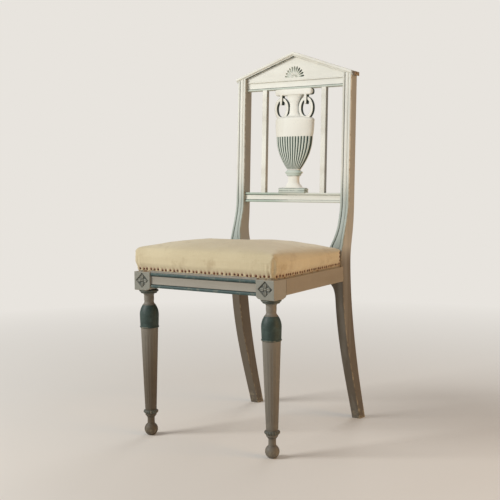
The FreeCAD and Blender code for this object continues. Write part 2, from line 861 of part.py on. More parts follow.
def pediment_panel_shape():
    edge = length("post_inner")
    foot = length("architrave_top")
    front = length("panel_recess")
    back = front + length("panel_thick")
    panel = prism([(-edge, foot), (edge, foot), (edge, rake_level(edge)), (0, rake_level(0)),
                   (-edge, rake_level(edge))], front, back)
    half_tongue = length("tongue_thick") / 2
    middle = (front + back) / 2
    depth = length("tongue_depth")
    tongue = Part.makeBox(2 * edge, 2 * half_tongue, depth + 1,
                          Vector(-edge, middle - half_tongue, foot - depth))
    panel = panel.fuse(tongue)
    # a half round fan of gouged rays, deep at their outer ends
    rays = []
    ray_count = 11
    hub = Vector(0, front, foot + length("fan_lift"))
    outer = length("fan_radius")
    for index in range(ray_count):
        angle = math.pi * (index + 0.5) / ray_count
        way = Vector(math.cos(angle), 0, math.sin(angle))
        wide = length("fan_ray_radius")
        run = outer * 0.62
        rays.append(Part.makeCone(0.25 * wide, wide, run, hub + way * (outer - run - wide), way))
        rays.append(Part.makeSphere(wide, hub + way * (outer - wide)))
    # small petals sit round the hub, inside the rays
    petal_count = 5
    petal_radius = 1.7
    for index in range(petal_count):
        angle = math.pi * (index + 0.5) / petal_count
        way = Vector(math.cos(angle), 0, math.sin(angle))
        rays.append(Part.makeSphere(petal_radius, hub + way * 3.6 * petal_radius))
    return panel.cut(rays)


def cornice_shape():
    """Right hand cornice: mitred over the middle, cut plumb at the eaves."""
    low = -length("cornice_proud")
    high = length("post_depth") + length("cornice_proud")
    return prism([(0, apex_top), (0, apex_top - cornice_drop),
                  (half_span, eaves_top - cornice_drop), (half_span, eaves_top)], low, high)


keep(place_in_back(feature("pediment_panel", pediment_panel_shape())), "pediment_panel")
cornice_right = feature("cornice_right", cornice_shape())
keep(place_in_back(cornice_right), "cornice_right")
keep(place_in_back(feature("cornice_left", across_middle(cornice_shape()))), "cornice_left")

# Slim bars beside the urn, tenoned into crossrail and architrave

for label, offset in (("back_bar_left", "-bar_offset"), ("back_bar_right", "bar_offset")):
    bar = new_body(label)
    add_pad(bar, "XY_Plane",
            rectangle(f"{offset} - bar_width / 2", "bar_recess", "bar_width", "bar_depth"), "back_opening")
    add_pad(bar, "XY_Plane",
            rectangle(f"{offset} - bar_width / 2 + 3", "bar_recess + 2", "bar_width - 6", "bar_depth - 4"),
            "back_opening + 2 * bar_tenon", offset="-bar_tenon")
    keep(place_in_back(bar), label)


# Urn splat: one carved board. Its outline is a flat board, its body, band and foot swell forward.


def bezier(*points):
    curve = Part.BezierCurve()
    curve.setPoles([Vector(*point) for point in points])
    return curve.toShape()


def line(start, stop):
    return Part.makeLine(Vector(*start), Vector(*stop))


def urn_half_edges(shrink):
    """Right edge of the urn from foot to top, drawn in the X and Z of the back, shrunk inwards."""
    top = length("urn_height")
    plinth = length("urn_plinth_width") / 2 - shrink
    stem = length("urn_stem_width") / 2 - shrink
    collar = length("urn_collar_width") / 2 - shrink
    band = length("urn_band_width") / 2 - shrink
    shoulder = length("urn_shoulder_width") / 2 - shrink
    neck = length("urn_neck_width") / 2 - shrink
    lip = length("urn_lip_width") / 2 - shrink
    plinth_top = length("urn_plinth_height")
    foot_top = plinth_top + length("urn_foot_height")
    collar_level = length("urn_collar_level")
    body_foot = length("urn_body_level")
    band_foot = length("urn_band_level")
    band_top = length("urn_shoulder_level")
    lip_foot = length("urn_height - urn_lip_height")
    rise = band_foot - body_foot
    throat = (band_top + lip_foot) / 2
    return [
        line((plinth, 0, 0), (plinth, 0, plinth_top)),
        bezier((plinth, 0, plinth_top), (plinth - 4, 0, plinth_top + 5), (stem, 0, plinth_top + 6),
               (stem, 0, foot_top)),
        line((stem, 0, foot_top), (stem, 0, collar_level - 8)),
        bezier((stem, 0, collar_level - 8), (collar, 0, collar_level - 6), (collar, 0, collar_level + 6),
               (stem + 3, 0, body_foot)),
        bezier((stem + 3, 0, body_foot), (0.72 * band, 0, body_foot + 0.29 * rise),
               (0.985 * band, 0, body_foot + 0.58 * rise), (band, 0, band_foot)),
        bezier((band, 0, band_foot), (band + 1, 0, band_foot + 12), (shoulder, 0, band_top - 20),
               (shoulder, 0, band_top - 3)),
        bezier((shoulder, 0, band_top - 3), (shoulder, 0, band_top + 3), (neck + 14, 0, band_top + 2),
               (neck + 8, 0, band_top + 8)),
        bezier((neck + 8, 0, band_top + 8), (neck - 2, 0, band_top + 18), (neck - 2, 0, throat),
               (neck + 2, 0, throat + 8)),
        bezier((neck + 2, 0, throat + 8), (neck + 8, 0, lip_foot - 8), (neck + 14, 0, lip_foot - 3),
               (neck + 16, 0, lip_foot)),
        line((neck + 16, 0, lip_foot), (lip - 6, 0, lip_foot)),
        bezier((lip - 6, 0, lip_foot), (lip + 3, 0, lip_foot), (lip + 2, 0, top - 1), (lip - 4, 0, top)),
    ]


def urn_board_shape(low, high):
    """The flat board from which the urn is carved, from one depth of the back to another."""
    right = urn_half_edges(0)
    left = [edge.mirror(Vector(0, 0, 0), Vector(1, 0, 0)) for edge in right]
    plinth = length("urn_plinth_width") / 2
    tip = right[-1].Vertexes[-1].Point
    ends = [line((-plinth, 0, 0), (plinth, 0, 0)), line((-tip.x, 0, tip.z), (tip.x, 0, tip.z))]
    wire = Part.Wire(Part.__sortEdges__(right + left + ends))
    solid = Part.Face(wire).extrude(Vector(0, high - low, 0))
    solid.translate(Vector(0, low, 0))
    return solid


def swell(edges, relief):
    """Half of a turned shape, flattened to the relief's depth: it bulges towards the front."""
    first = edges[0].Vertexes[0].Point
    last = edges[-1].Vertexes[-1].Point
    widest = max(edge.BoundBox.XMax for edge in edges)
    closing = [line((first.x, 0, first.z), (0, 0, first.z)), line((0, 0, first.z), (0, 0, last.z)),
               line((0, 0, last.z), (last.x, 0, last.z))]
    face = Part.Face(Part.Wire(Part.__sortEdges__(edges + closing)))
    solid = face.revolve(Vector(0, 0, 0), Vector(0, 0, 1), 360)
    flat = Matrix()
    flat.A22 = relief / widest
    solid = solid.transformGeometry(flat)
    reach = 2 * widest
    half = Part.makeBox(2 * reach, reach, 3 * length("urn_height"),
                        Vector(-reach, -reach, -length("urn_height")))
    return solid.common(half)


def reeded_body(edge, relief, groove):
    """The urn's body: upright reeds side by side, each an arc that stands on a flattened half round.

    The reeds keep their share of the width, so they draw together towards the foot."""
    reeds = 13
    levels = 6
    curve = edge.Curve
    widest = curve.value(1).x
    sections = []
    for step in range(levels + 1):
        spot = curve.value(step / levels)
        scale = spot.x / widest

        def on_form(share, depth):
            return Vector(spot.x * share, -depth * scale * math.sqrt(1 - share * share), spot.z)

        rim = [Part.makeLine(Vector(-spot.x, 0, spot.z), Vector(spot.x, 0, spot.z))]
        for index in range(reeds):
            left = (2 * index - reeds) / reeds
            right = (2 * index + 2 - reeds) / reeds
            middle = (left + right) / 2
            rim.append(Part.Arc(on_form(left, relief - groove), on_form(middle, relief),
                                on_form(right, relief - groove)).toShape())
        sections.append(Part.Wire(Part.__sortEdges__(rim)))
    return Part.makeLoft(sections, True, True)


def ring_shape(offset):
    """A standing oval ring with the strap that holds it to the lip."""
    middle = length("urn_shoulder_level") - 4 + length("ring_height") / 2
    thick = length("ring_thick")
    low = length("urn_recess") + length("urn_board") / 2 - thick / 2

    def oval(half_wide, half_tall):
        long = max(half_wide, half_tall)
        short = min(half_wide, half_tall)
        curve = Part.Ellipse(Vector(0, 0, 0), long, short).toShape()
        turned = Part.Wire([curve])
        turned.rotate(Vector(0, 0, 0), Vector(0, 0, 1), 90)
        turned.rotate(Vector(0, 0, 0), Vector(1, 0, 0), 90)
        return Part.Face(turned)

    wide = length("ring_width") / 2
    tall = length("ring_height") / 2
    tube = length("ring_tube")
    ring = oval(wide, tall).cut(oval(wide - tube, tall - tube)).extrude(Vector(0, thick, 0))
    ring.translate(Vector(offset, low, middle))
    drop = length("strap_drop")
    lip_foot = length("urn_height - urn_lip_height")
    half = length("strap_width") / 2
    strap = Part.makeBox(2 * half, thick + 3, drop + 2, Vector(offset - half, low - 2, lip_foot - drop))
    return ring.fuse(strap)


def urn_shape():
    front = length("urn_recess")
    board = urn_board_shape(front, front + length("urn_board"))
    relief = length("urn_relief")
    # the relief is a little narrower than the board and sinks into it, so that no faces coincide
    margin = 1.2
    sink = 0.4
    edges = urn_half_edges(margin)
    reeded = reeded_body(edges[4], relief, length("urn_reed_depth"))
    band = swell(edges[5:6], relief)
    collar = swell(edges[3:4], relief * 0.7)
    foot = swell(edges[1:3], relief)
    pieces = []
    for piece in (reeded, band, collar, foot):
        piece.translate(Vector(0, front + sink, 0))
        pieces.append(piece)
    for offset in (-length("ring_offset"), length("ring_offset")):
        pieces.append(ring_shape(offset))
    plinth_half = length("urn_plinth_width") / 2
    pieces.append(Part.makeBox(2 * plinth_half - 2, 5, length("urn_plinth_height") - 1,
                               Vector(1 - plinth_half, front - 4, 0)))
    neck = length("urn_neck_width") / 2
    tenon = length("bar_tenon")
    pieces.append(Part.makeBox(2 * neck, length("urn_board") - 2, length("urn_height") + 2 * tenon,
                               Vector(-neck, front + 1, -tenon)))
    return board.fuse(pieces)


keep(place_in_back(feature("urn_splat", urn_shape())), "urn_splat")

# Rear legs: sabre leg and leaning post in one piece, swelling to the inside at the seat


def smooth_side_outline():
    """Outline of the rear leg seen from the side, in Y and Z."""
    rail_foot = length("rail_foot")
    show = length("show_top")
    slope = math.tan(math.radians(length("lean")))
    back_line = length("back_line")
    level = length("crossrail_level")
    top = length("overall_height") + 20
    depth = length("post_depth") / math.cos(math.radians(length("lean")))
    heel = length("heel_y")
    foot = length("foot_front")
    front = length("leg_front")
    rear_y = length("leg_rear")
    flare = length("flare_front")

    def face_y(z):
        return back_line + (z - level) * slope

    bend_low = show + 12
    bend_top = level - 18
    bend = bend_top - bend_low
    back_low = show + 15
    back_top = level - 36
    back_bend = back_top - back_low
    sweep = foot - front
    lag = heel - rear_y
    return [
        line((0, foot, 0), (0, heel, 0)),
        bezier((0, heel, 0), (0, heel - 0.29 * lag, 0.2 * rail_foot),
               (0, rear_y + 0.05 * lag, 0.65 * rail_foot), (0, rear_y, rail_foot + 30)),
        line((0, rear_y, rail_foot + 30), (0, rear_y, back_low)),
        bezier((0, rear_y, back_low), (0, rear_y + 0.5, back_low + 0.31 * back_bend),
               (0, face_y(back_top) + depth - 3.7, back_low + 0.46 * back_bend),
               (0, face_y(back_top) + depth, back_top)),
        line((0, face_y(back_top) + depth, back_top), (0, face_y(top) + depth, top)),
        line((0, face_y(top) + depth, top), (0, face_y(top), top)),
        line((0, face_y(top), top), (0, face_y(bend_top), bend_top)),
        bezier((0, face_y(bend_top), bend_top), (0, face_y(bend_top) - 1.5, bend_low + 0.65 * bend),
               (0, flare, bend_low + 0.32 * bend), (0, flare, bend_low)),
        line((0, flare, bend_low), (0, flare, show)),
        line((0, flare, show), (0, front, show)),
        line((0, front, show), (0, front, rail_foot)),
        bezier((0, front, rail_foot), (0, front, 0.62 * rail_foot),
               (0, front + 0.67 * sweep, 0.25 * rail_foot), (0, foot, 0)),
    ]


def front_view_outline():
    """Outline of the right rear leg seen from the front, in X and Z."""
    outer = length("post_outer")
    inner = length("post_inner")
    seat = length("seat_inner")
    show = length("show_top")
    rail_foot = length("rail_foot")
    back = length("back_line")
    slope = math.tan(math.radians(length("lean")))
    cosine = math.cos(math.radians(length("lean")))

    def plumb(height):
        """Floor level of a height along the back."""
        return length("crossrail_level") + height * cosine

    swell_top = show + 104
    swell_low = show + 46
    under = rail_foot - 11
    under_low = rail_foot - 50
    return [
        line((inner, 0, 0), (outer, 0, 0)),
        line((outer, 0, 0), (outer, 0, plumb(rake_level(outer)))),
        line((outer, 0, plumb(rake_level(outer))), (inner, 0, plumb(rake_level(inner)))),
        line((inner, 0, plumb(rake_level(inner))), (inner, 0, swell_top)),
        bezier((inner, 0, swell_top), (inner, 0, swell_top - 28), (seat + 6, 0, swell_low + 14),
               (seat, 0, swell_low)),
        line((seat, 0, swell_low), (seat, 0, under)),
        bezier((seat, 0, under), (seat + 9, 0, under - 2), (inner, 0, under - 16), (inner, 0, under_low)),
        line((inner, 0, under_low), (inner, 0, 0)),
    ]


def back_box(low_corner, size):
    """A box drawn in the back's leaning frame."""
    solid = Part.makeBox(*size, Vector(*low_corner))
    solid.Placement = back_place()
    return solid


def post_mortises():
    """The mortises that the crossrail and the architrave go into."""
    gap = length("tenon_gap")
    start = length("post_inner") - 5
    end = length("post_inner + back_tenon_length + tenon_end_gap")
    tools = []
    for low_y, low_z, thick, tall in (crossrail_tenon, architrave_tenon):
        corner = (start, length(low_y) - gap, length(low_z) - gap)
        tools.append(back_box(corner, (end - start, length(thick) + 2 * gap, length(tall) + 2 * gap)))
    return tools


def rear_leg_shape():
    outer = length("post_outer")
    seat = length("seat_inner")
    side_face = Part.Face(Part.Wire(Part.__sortEdges__(smooth_side_outline())))
    profile = side_face.extrude(Vector(outer - seat, 0, 0))
    profile.translate(Vector(seat, 0, 0))
    front_face = Part.Face(Part.Wire(Part.__sortEdges__(front_view_outline())))
    view = front_face.extrude(Vector(0, 2 * length("chair_depth"), 0))
    view.translate(Vector(0, -length("chair_depth"), 0))
    leg_solid = profile.common(view)
    # the post's top is cut square to the back, so that the cornices lie flat on it
    beyond = outer + length("cornice_overhang")
    depth = length("post_depth")
    points = [(seat, rake_level(seat)), (beyond, rake_level(beyond)),
              (beyond, apex_top + depth), (seat, apex_top + depth)]
    above = prism(points, -depth, 3 * depth)
    above.Placement = back_place()
    leg_solid = leg_solid.cut(above)
    # a shoulder in front of the post, under the cover, that the cover is tacked to
    shoulder = Part.makeBox(
        length(side_x("flare_front", "cover_rebate")) - seat, length("shoulder_reach") + 1,
        length("shoulder_height"), Vector(seat, length("shoulder_front"), length("show_top")))
    leg_solid = leg_solid.fuse(shoulder)
    # two fine grooves down the post's face set off its beads
    width = length("groove_width")
    low = length("show_top") + 52
    for x in (length("post_inner + post_bead"), outer - length("post_bead") - width):
        slab = side_face.extrude(Vector(width, 0, 0))
        slab.translate(Vector(x, 0, 0))
        deeper = slab.copy()
        deeper.translate(Vector(0, length("groove_depth"), 0))
        strip = slab.cut(deeper)
        room = Part.makeBox(3 * width, length("chair_depth"), length("overall_height"),
                            Vector(x - width, 0, low))
        leg_solid = leg_solid.cut(strip.common(room))
    return leg_solid.cut(post_mortises())


side_rear_corner = ("side_rear_tenon_x", "leg_front", "tenon_foot")
side_rear_size = ("tenon_thick", "tenon_length", side_rear_height)
rear_tenon_corner = ("seat_inner", "rear_tenon_y", "tenon_foot")
rear_tenon_size = ("tenon_length", "tenon_thick", "tenon_height")
rear_leg_right = keep(cut("rear_leg_right", feature("rear_leg_solid", rear_leg_shape()), [
    mortise_box("rear_leg_side_mortise", side_rear_corner, side_rear_size, "+Y"),
    mortise_box("rear_leg_rail_mortise", rear_tenon_corner, rear_tenon_size, "+X"),
    tack_holes("rear_leg_tack_holes", ["right"]),
]), "rear_leg_right")
mirrored(rear_leg_right, "rear_leg_left")

# Webbing under the seat: strips from front to back, and strips across that dip onto the side rails

web_foot = "frame_top"
for label, offset in (("webbing_left", "-web_pitch"), ("webbing_middle", "0 * web_pitch"),
                      ("webbing_right", "web_pitch")):
    strip = new_body(label)
    add_pad(strip, "XY_Plane", rectangle(
        f"{offset} - web_width / 2", "front_rail_face + web_margin", "web_width",
        "rear_rail_back - front_rail_face - 2 * web_margin"), "web_thick", offset=web_foot)
    keep(strip, label)


def cross_web(y_text):
    """Section of a strip across the seat: down on the side rails, up over the long strips."""
    end = side_x(y_text, "web_margin + cover_rebate")
    inner = side_x(y_text, "rail_thick + 2")
    lift = "web_pitch + web_width / 2 + 3"
    low = "frame_top"
    return [
        (f"-{end}", low),
        (f"-{inner}", low),
        (f"-({lift})", "frame_top + web_thick"),
        (lift, "frame_top + web_thick"),
        (inner, low),
        (end, low),
        (end, "frame_top + web_thick"),
        (inner, "frame_top + web_thick"),
        (lift, "frame_top + 2 * web_thick"),
        (f"-({lift})", "frame_top + 2 * web_thick"),
        (f"-{inner}", "frame_top + web_thick"),
        (f"-{end}", "frame_top + web_thick"),
    ]


for label, share in (("webbing_cross_front", "0.22"), ("webbing_cross_middle", "0.5"),
                     ("webbing_cross_rear", "0.76")):
    middle = f"(front_rail_back + {share} * (rear_rail_front - front_rail_back))"
    strip = new_body(label)
    add_pad(strip, "XZ_Plane", cross_web(f"{middle} + web_width / 2"), "web_width",
            offset=f"-({middle} + web_width / 2)")
    keep(strip, label)

# Hessian over the webbing


def seat_outline(inset, level, corner, fall=0.0):
    """Closed outline of the seat in plan: straight front, splayed sides, rounded corners.

    inset is how far it lies inside the front block's faces; the level drops by fall over the seat."""
    front = length("front_y") + inset
    rear_line = length("rear_rail_back + cover_rebate") - inset
    slope = length("splay")
    tilt = fall / (rear_line - front)
    bend = front + corner

    def spot(x, y):
        return Vector(x, y, level - tilt * (y - front))

    def side_edge(y):
        return length("front_width") / 2 - inset - slope * max(0.0, y - length("block_back"))

    knuckle = length("block_back") if bend < length("block_back") else (bend + rear_line) / 2
    half = side_edge(bend)
    diagonal = corner * (1 - math.sqrt(0.5))
    edges = [
        Part.makeLine(spot(-half + corner, front), spot(half - corner, front)),
        Part.Arc(spot(half - corner, front), spot(half - diagonal, front + diagonal),
                 spot(half, bend)).toShape(),
        Part.makeLine(spot(half, bend), spot(side_edge(knuckle), knuckle)),
        Part.makeLine(spot(side_edge(knuckle), knuckle), spot(side_edge(rear_line), rear_line)),
        Part.makeLine(spot(side_edge(rear_line), rear_line), spot(-side_edge(rear_line), rear_line)),
        Part.makeLine(spot(-side_edge(rear_line), rear_line), spot(-side_edge(knuckle), knuckle)),
        Part.makeLine(spot(-side_edge(knuckle), knuckle), spot(-half, bend)),
        Part.Arc(spot(-half, bend), spot(-half + diagonal, front + diagonal),
                 spot(-half + corner, front)).toShape(),
    ]
    return Part.Wire(edges)


def post_room(low_y, level, top):
    """The room that the two rear posts take, from a line along the chair to the back."""
    gap = length("soft_gap")
    seat = length("seat_inner") - gap
    rooms = []
    for side_sign in (-1, 1):
        x = seat if side_sign > 0 else -2 * seat
        rooms.append(Part.makeBox(seat, seat, top - level, Vector(x, low_y - gap, level)))
    return rooms


hessian_inset = length("cover_rebate + hessian_margin")
hessian = Part.Face(seat_outline(hessian_inset, length("hessian_foot"), length("pad_corner")))
hessian = hessian.extrude(Vector(0, 0, length("hessian_thick")))
hessian = hessian.cut(post_room(length("shoulder_front"), length("show_top"), length("show_top") + 60))
keep(feature("hessian", hessian), "hessian")

# Seat: the stuffing and the cover share one crowned form, upright on the frame and drawn in above


def crowned_form(shrink, foot):
    """The seat's form, shrunk all round by a thickness: an upright skirt and a domed crown."""
    inset = length("cover_rebate - soft_gap - cover_thick") + shrink
    corner = length("pad_corner") - shrink
    shoulder = length("pad_shoulder")
    rise = length("crown_rise") - shrink
    fall = length("crown_fall")
    # shares of the crown's rise, how far the outline has drawn in, and how much of the fall it takes
    steps = ((0.0, 0.0, 0.0), (0.2, 1.0, 0.35), (0.42, 3.6, 0.7), (0.6, 8.5, 1.0), (0.76, 19.0, 1.0),
             (0.88, 38.0, 1.0), (0.96, 68.0, 1.0), (1.0, 104.0, 1.0))
    sections = [seat_outline(inset, foot, corner)]
    for share, draw, tip in steps:
        level = shoulder + share * rise + 0.5 * fall * tip
        sections.append(seat_outline(inset + draw, level, corner + draw * 0.55, fall * tip))
    return Part.makeLoft(sections, True, True)


seat_top = length("pad_shoulder + crown_rise + crown_fall") + 10
stuffing = crowned_form(length("cover_thick + soft_gap"), length("stuffing_foot"))
stuffing = stuffing.cut(post_room(length("flare_front"), length("show_top"), seat_top))
stuffing = stuffing.cut(post_room(length("shoulder_front"), length("show_top"),
                                  length("show_top + shoulder_height + soft_gap")))
keep(feature("seat_stuffing", stuffing), "seat_stuffing")

cover = crowned_form(0, length("cover_foot"))
cover = cover.cut(crowned_form(length("cover_thick"), length("cover_foot") - 5))
cover = cover.cut(post_room(length("flare_front"), length("show_top"), seat_top))
cover_holes = tack_holes("cover_tack_holes", ["front", "right", "left", "rear"])
keep(cut("seat_cover", feature("seat_cover_cloth", cover), [cover_holes]), "seat_cover")

for side_name in ("front", "right", "left", "rear"):
    solids = []
    for spot, way in tack_places[side_name]:
        solids.append(tack_solid(spot, way))
    keep(feature("cover_tacks_" + side_name, Part.makeCompound(solids)), "cover_tacks_" + side_name)

# Check every object, then write one file per sub-part

document.recompute()
for item in document.Objects:
    if "Invalid" in item.State or "Error" in item.State:
        raise RuntimeError(f"{item.Name} did not build: {item.State}")
for part in nodes:
    if part.Shape.isNull() or not part.Shape.isValid():
        raise RuntimeError(f"{part.Label} has no valid shape")
for part in nodes:
    part.Shape.exportStep(f"parts/{part.Label}.step")
    extent = part.Shape.BoundBox
    print(f"{part.Label}: {len(part.Shape.Solids)} solids, {part.Shape.Volume / 1000:.1f} cm3, "
          f"X {extent.XMin:.1f} {extent.XMax:.1f} Y {extent.YMin:.1f} {extent.YMax:.1f} "
          f"Z {extent.ZMin:.1f} {extent.ZMax:.1f}")
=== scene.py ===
# %% [markdown]
# # A painted side chair with an urn in its back
# The chair's frame comes from the CAD model, in metres, with the floor at Z = 0, +X to the right
# of someone who faces the chair and +Y towards its back. This notebook dresses that frame: carved,
# turned and moulded wood under old paint, and a stuffed seat under bare muslin. Every shape is a
# surface worked out with numpy, because a formula is easy to read, to check and to change.

import math

import bmesh
import bpy
import numpy as np
from mathutils import Matrix


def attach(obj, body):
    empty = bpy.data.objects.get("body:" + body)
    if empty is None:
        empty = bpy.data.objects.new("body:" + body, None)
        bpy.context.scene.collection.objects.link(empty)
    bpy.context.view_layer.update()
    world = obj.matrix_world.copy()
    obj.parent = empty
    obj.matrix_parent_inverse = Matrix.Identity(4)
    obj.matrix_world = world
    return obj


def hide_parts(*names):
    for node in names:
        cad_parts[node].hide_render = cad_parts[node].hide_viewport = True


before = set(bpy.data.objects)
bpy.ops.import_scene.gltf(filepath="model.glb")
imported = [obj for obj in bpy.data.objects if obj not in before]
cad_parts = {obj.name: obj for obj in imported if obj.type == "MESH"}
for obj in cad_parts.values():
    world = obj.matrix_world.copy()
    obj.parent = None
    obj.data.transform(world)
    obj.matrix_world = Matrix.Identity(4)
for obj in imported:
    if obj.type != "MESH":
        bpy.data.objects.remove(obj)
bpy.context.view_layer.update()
MM = 0.001

# %% [markdown]
# ## The chair's own sizes
# These are the measures that the pieces share, in millimetres, as the CAD model has them. Keeping
# them in one cell means that a leg, its block and the rail between two blocks always agree.

# %% Shared sizes in millimetres
FRONT_Y = -231.5
HALF_FRONT = 202.0
HALF_BACK = 172.0
BLOCK = 49.0
BLOCK_BACK = FRONT_Y + BLOCK
LEG_X = HALF_FRONT - BLOCK / 2
LEG_Y = FRONT_Y + BLOCK / 2
BLOCK_FOOT = 355.5
RAIL_FOOT = 363.0
SHOW_TOP = 400.0
FRAME_TOP = 424.0
LEG_FRONT = 118.5
REBATE = 4.2
SPLAY = (HALF_FRONT - HALF_BACK) / (LEG_FRONT - BLOCK_BACK)
POST_WIDTH = 24.5
POST_DEPTH = 30.0
POST_INNER = HALF_BACK - POST_WIDTH
SEAT_INNER = POST_INNER - 12.5
LEAN = math.radians(2.54)
BACK_LINE = 146.3
BACK_FOOT = 580.5
BACK_OPENING = 266.5
ARCHITRAVE_TOP = BACK_OPENING + 25.0
print("splay of the side rails:", round(math.degrees(math.atan(SPLAY)), 1), "degrees")

# %% [markdown]
# ## Helpers for surfaces
# A lofted piece is a grid of points: each row is one closed outline, and the rows follow the piece
# from one end to the other. Neighbouring rows are joined by four-sided faces, and the two ends get
# a cap. Each point also carries painting masks, which the materials read later: *green* for the
# picked-out mouldings, *glaze* for a thin wash of the same colour, a third mask for dark thin paint
# that is also painted shade on the legs and on the sides of posts and bars, *worn* for rubbed edges
# and *grime* for hollows that hold dirt.

# %% Build a mesh from points, faces and masks
MASKS = ("green", "glaze", "thin_and_shade", "worn", "grime")


def add_piece(name, points, faces, masks=None, sharp=38.0):
    """Put points (n by 3, millimetres) and faces into a new object whose faces point outwards."""
    mesh = bpy.data.meshes.new(name)
    mesh.from_pydata((np.asarray(points, float) * MM).tolist(), [], faces)
    for mask in MASKS:
        layer = mesh.attributes.new(mask, "FLOAT", "POINT")
        values = np.zeros(len(points))
        if masks and mask in masks:
            values = np.broadcast_to(np.asarray(masks[mask], float), len(points))
        layer.data.foreach_set("value", np.clip(values, 0.0, 1.0))
    shell = bmesh.new()
    shell.from_mesh(mesh)
    bmesh.ops.remove_doubles(shell, verts=shell.verts, dist=1e-6)
    bmesh.ops.recalc_face_normals(shell, faces=shell.faces)
    shell.to_mesh(mesh)
    shell.free()
    mesh.shade_smooth()
    mesh.set_sharp_from_angle(angle=math.radians(sharp))
    piece = bpy.data.objects.new(name, mesh)
    bpy.context.scene.collection.objects.link(piece)
    return piece


def loft(rows, closed=False):
    """Faces of a grid of rows by columns, closed across each row.

    Point (r, c) joins (r, c+1), (r+1, c+1) and (r+1, c). With closed the last row joins the first,
    as in a ring, and otherwise both ends get one flat cap."""
    count, width = rows.shape[:2]
    index = np.arange(count * width).reshape(count, width)
    upper = np.roll(index, -1, axis=0)
    if not closed:
        index, upper = index[:-1], upper[:-1]
    quads = np.stack([index, np.roll(index, -1, axis=1), np.roll(upper, -1, axis=1), upper],
                     axis=-1)
    faces = quads.reshape(-1, 4).tolist()
    if not closed:
        faces.append(list(range(width))[::-1])
        faces.append(list(range((count - 1) * width, count * width)))
    return rows.reshape(-1, 3), faces


def add_loft(name, rows, masks=None, closed=False, sharp=38.0):
    """A lofted piece; each mask is a grid of rows by columns, or one row that all rows share."""
    flat = {}
    for mask, values in (masks or {}).items():
        flat[mask] = np.broadcast_to(np.asarray(values, float), rows.shape[:2]).reshape(-1)
    points, faces = loft(rows, closed)
    return add_piece(name, points, faces, flat, sharp)


def bulged(corners, steps=10):
    """Points along corners (a, b) or (a, b, bulge): a bulge bends the edge to the next corner.

    The bulge is the arc's rise over its chord: with chord c and bulge k the radius is
    c (1 / 8k + k / 2), and the arc swells to the right of the way."""
    points = []
    for here, after in zip(corners, corners[1:]):
        start = np.array(here[:2], float)
        stop = np.array(after[:2], float)
        bulge = here[2] if len(here) > 2 else 0.0
        if not bulge:
            points.append(start[None])
            continue
        run = stop - start
        side = np.array([run[1], -run[0]])
        turn = 4 * math.atan(2 * bulge)
        share = np.linspace(0, 1, steps, endpoint=False)
        angle = (share - 0.5) * turn
        along = 0.5 + 0.5 * np.sin(angle) / math.sin(turn / 2)
        across = 0.5 * (np.cos(angle) - math.cos(turn / 2)) / math.sin(turn / 2)
        points.append(start + along[:, None] * run + across[:, None] * side)
    points.append(np.array([corners[-1][:2]], float))
    return np.concatenate(points)


def filled(corners, spacing):
    """The line through the corners, each stretch cut into equal steps of about the spacing."""
    stretches = []
    for start, stop in zip(corners, corners[1:]):
        count = max(1, int(np.linalg.norm(stop - start) / spacing))
        stretches.append(start + np.linspace(0, 1, count, endpoint=False)[:, None] * (stop - start))
    stretches.append(corners[-1:])
    return np.concatenate(stretches)


def smooth_step(low, high, value):
    """Zero below low, one above high, and 3t^2 - 2t^3 between them."""
    share = np.clip((value - low) / (high - low), 0.0, 1.0)
    return share * share * (3 - 2 * share)


def waves(a, b, scale, seed):
    """Soft unevenness without a pattern: a sum of sine waves in seeded directions."""
    random = np.random.default_rng(seed)
    total = np.zeros(np.broadcast(a, b).shape)
    for _ in range(7):
        angle, phase = random.uniform(0, 2 * math.pi, 2)
        pitch = scale * random.uniform(0.6, 1.6)
        total += np.sin((a * math.cos(angle) + b * math.sin(angle)) * 2 * math.pi / pitch + phase)
    return total / 7


def line_at(value, middle, width):
    """A soft line: the bell curve exp(-((value - middle) / width)^2), one on the line itself."""
    return np.exp(-((value - middle) / width) ** 2)


def in_back(x, depth, height):
    """Points of the leaning back: depth behind the posts' front, height above the crossrail."""
    x, depth, height = np.broadcast_arrays(x, depth, height)
    return np.stack([x, BACK_LINE + depth * math.cos(LEAN) + height * math.sin(LEAN),
                     BACK_FOOT - depth * math.sin(LEAN) + height * math.cos(LEAN)], axis=-1)


def finish_piece(piece, nodes, material):
    """Let a piece stand for its CAD nodes, ride on the chair and take its paint."""
    if nodes:
        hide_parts(*nodes)
    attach(piece, "root")
    piece.data.materials.append(material)
    print(piece.name, "has", len(piece.data.polygons), "faces")


print("masks on every vertex:", ", ".join(MASKS))


# %% [markdown]
# ## The old paint
# The wood carries several thin coats of grey-white oil paint. The mouldings are picked out in a
# blue-green. Long use has rubbed the edges down to the wood, left grime in the hollows, and let the
# grain print through. A picture of old paint could be laid over each piece, but it would know
# nothing of its edges and hollows. So one node group works out that layering for every painted
# piece: it takes the masks and the place on the chair, and it puts out a colour, a roughness and a
# height. First come a few helpers that save typing when nodes are made and joined.

# %% Node helpers


def new_group(name, inputs, outputs):
    """A shader node group; inputs and outputs are (name, socket type, default value)."""
    group = bpy.data.node_groups.new(name, "ShaderNodeTree")
    for label, kind, value in inputs:
        socket = group.interface.new_socket(name=label, in_out="INPUT", socket_type=kind)
        if value is not None:
            socket.default_value = value
    for label, kind, _ in outputs:
        group.interface.new_socket(name=label, in_out="OUTPUT", socket_type=kind)
    entry = group.nodes.new("NodeGroupInput")
    way_out = group.nodes.new("NodeGroupOutput")
    return group, entry, way_out


def connect(tree, source, target):
    """Draw a link from an output to an input."""
    tree.links.new(source, target)


def feed(tree, socket, value):
    """Join a socket to another socket, or set it to a plain value."""
    if isinstance(value, bpy.types.NodeSocket):
        tree.links.new(value, socket)
    elif value is not None:
        socket.default_value = value


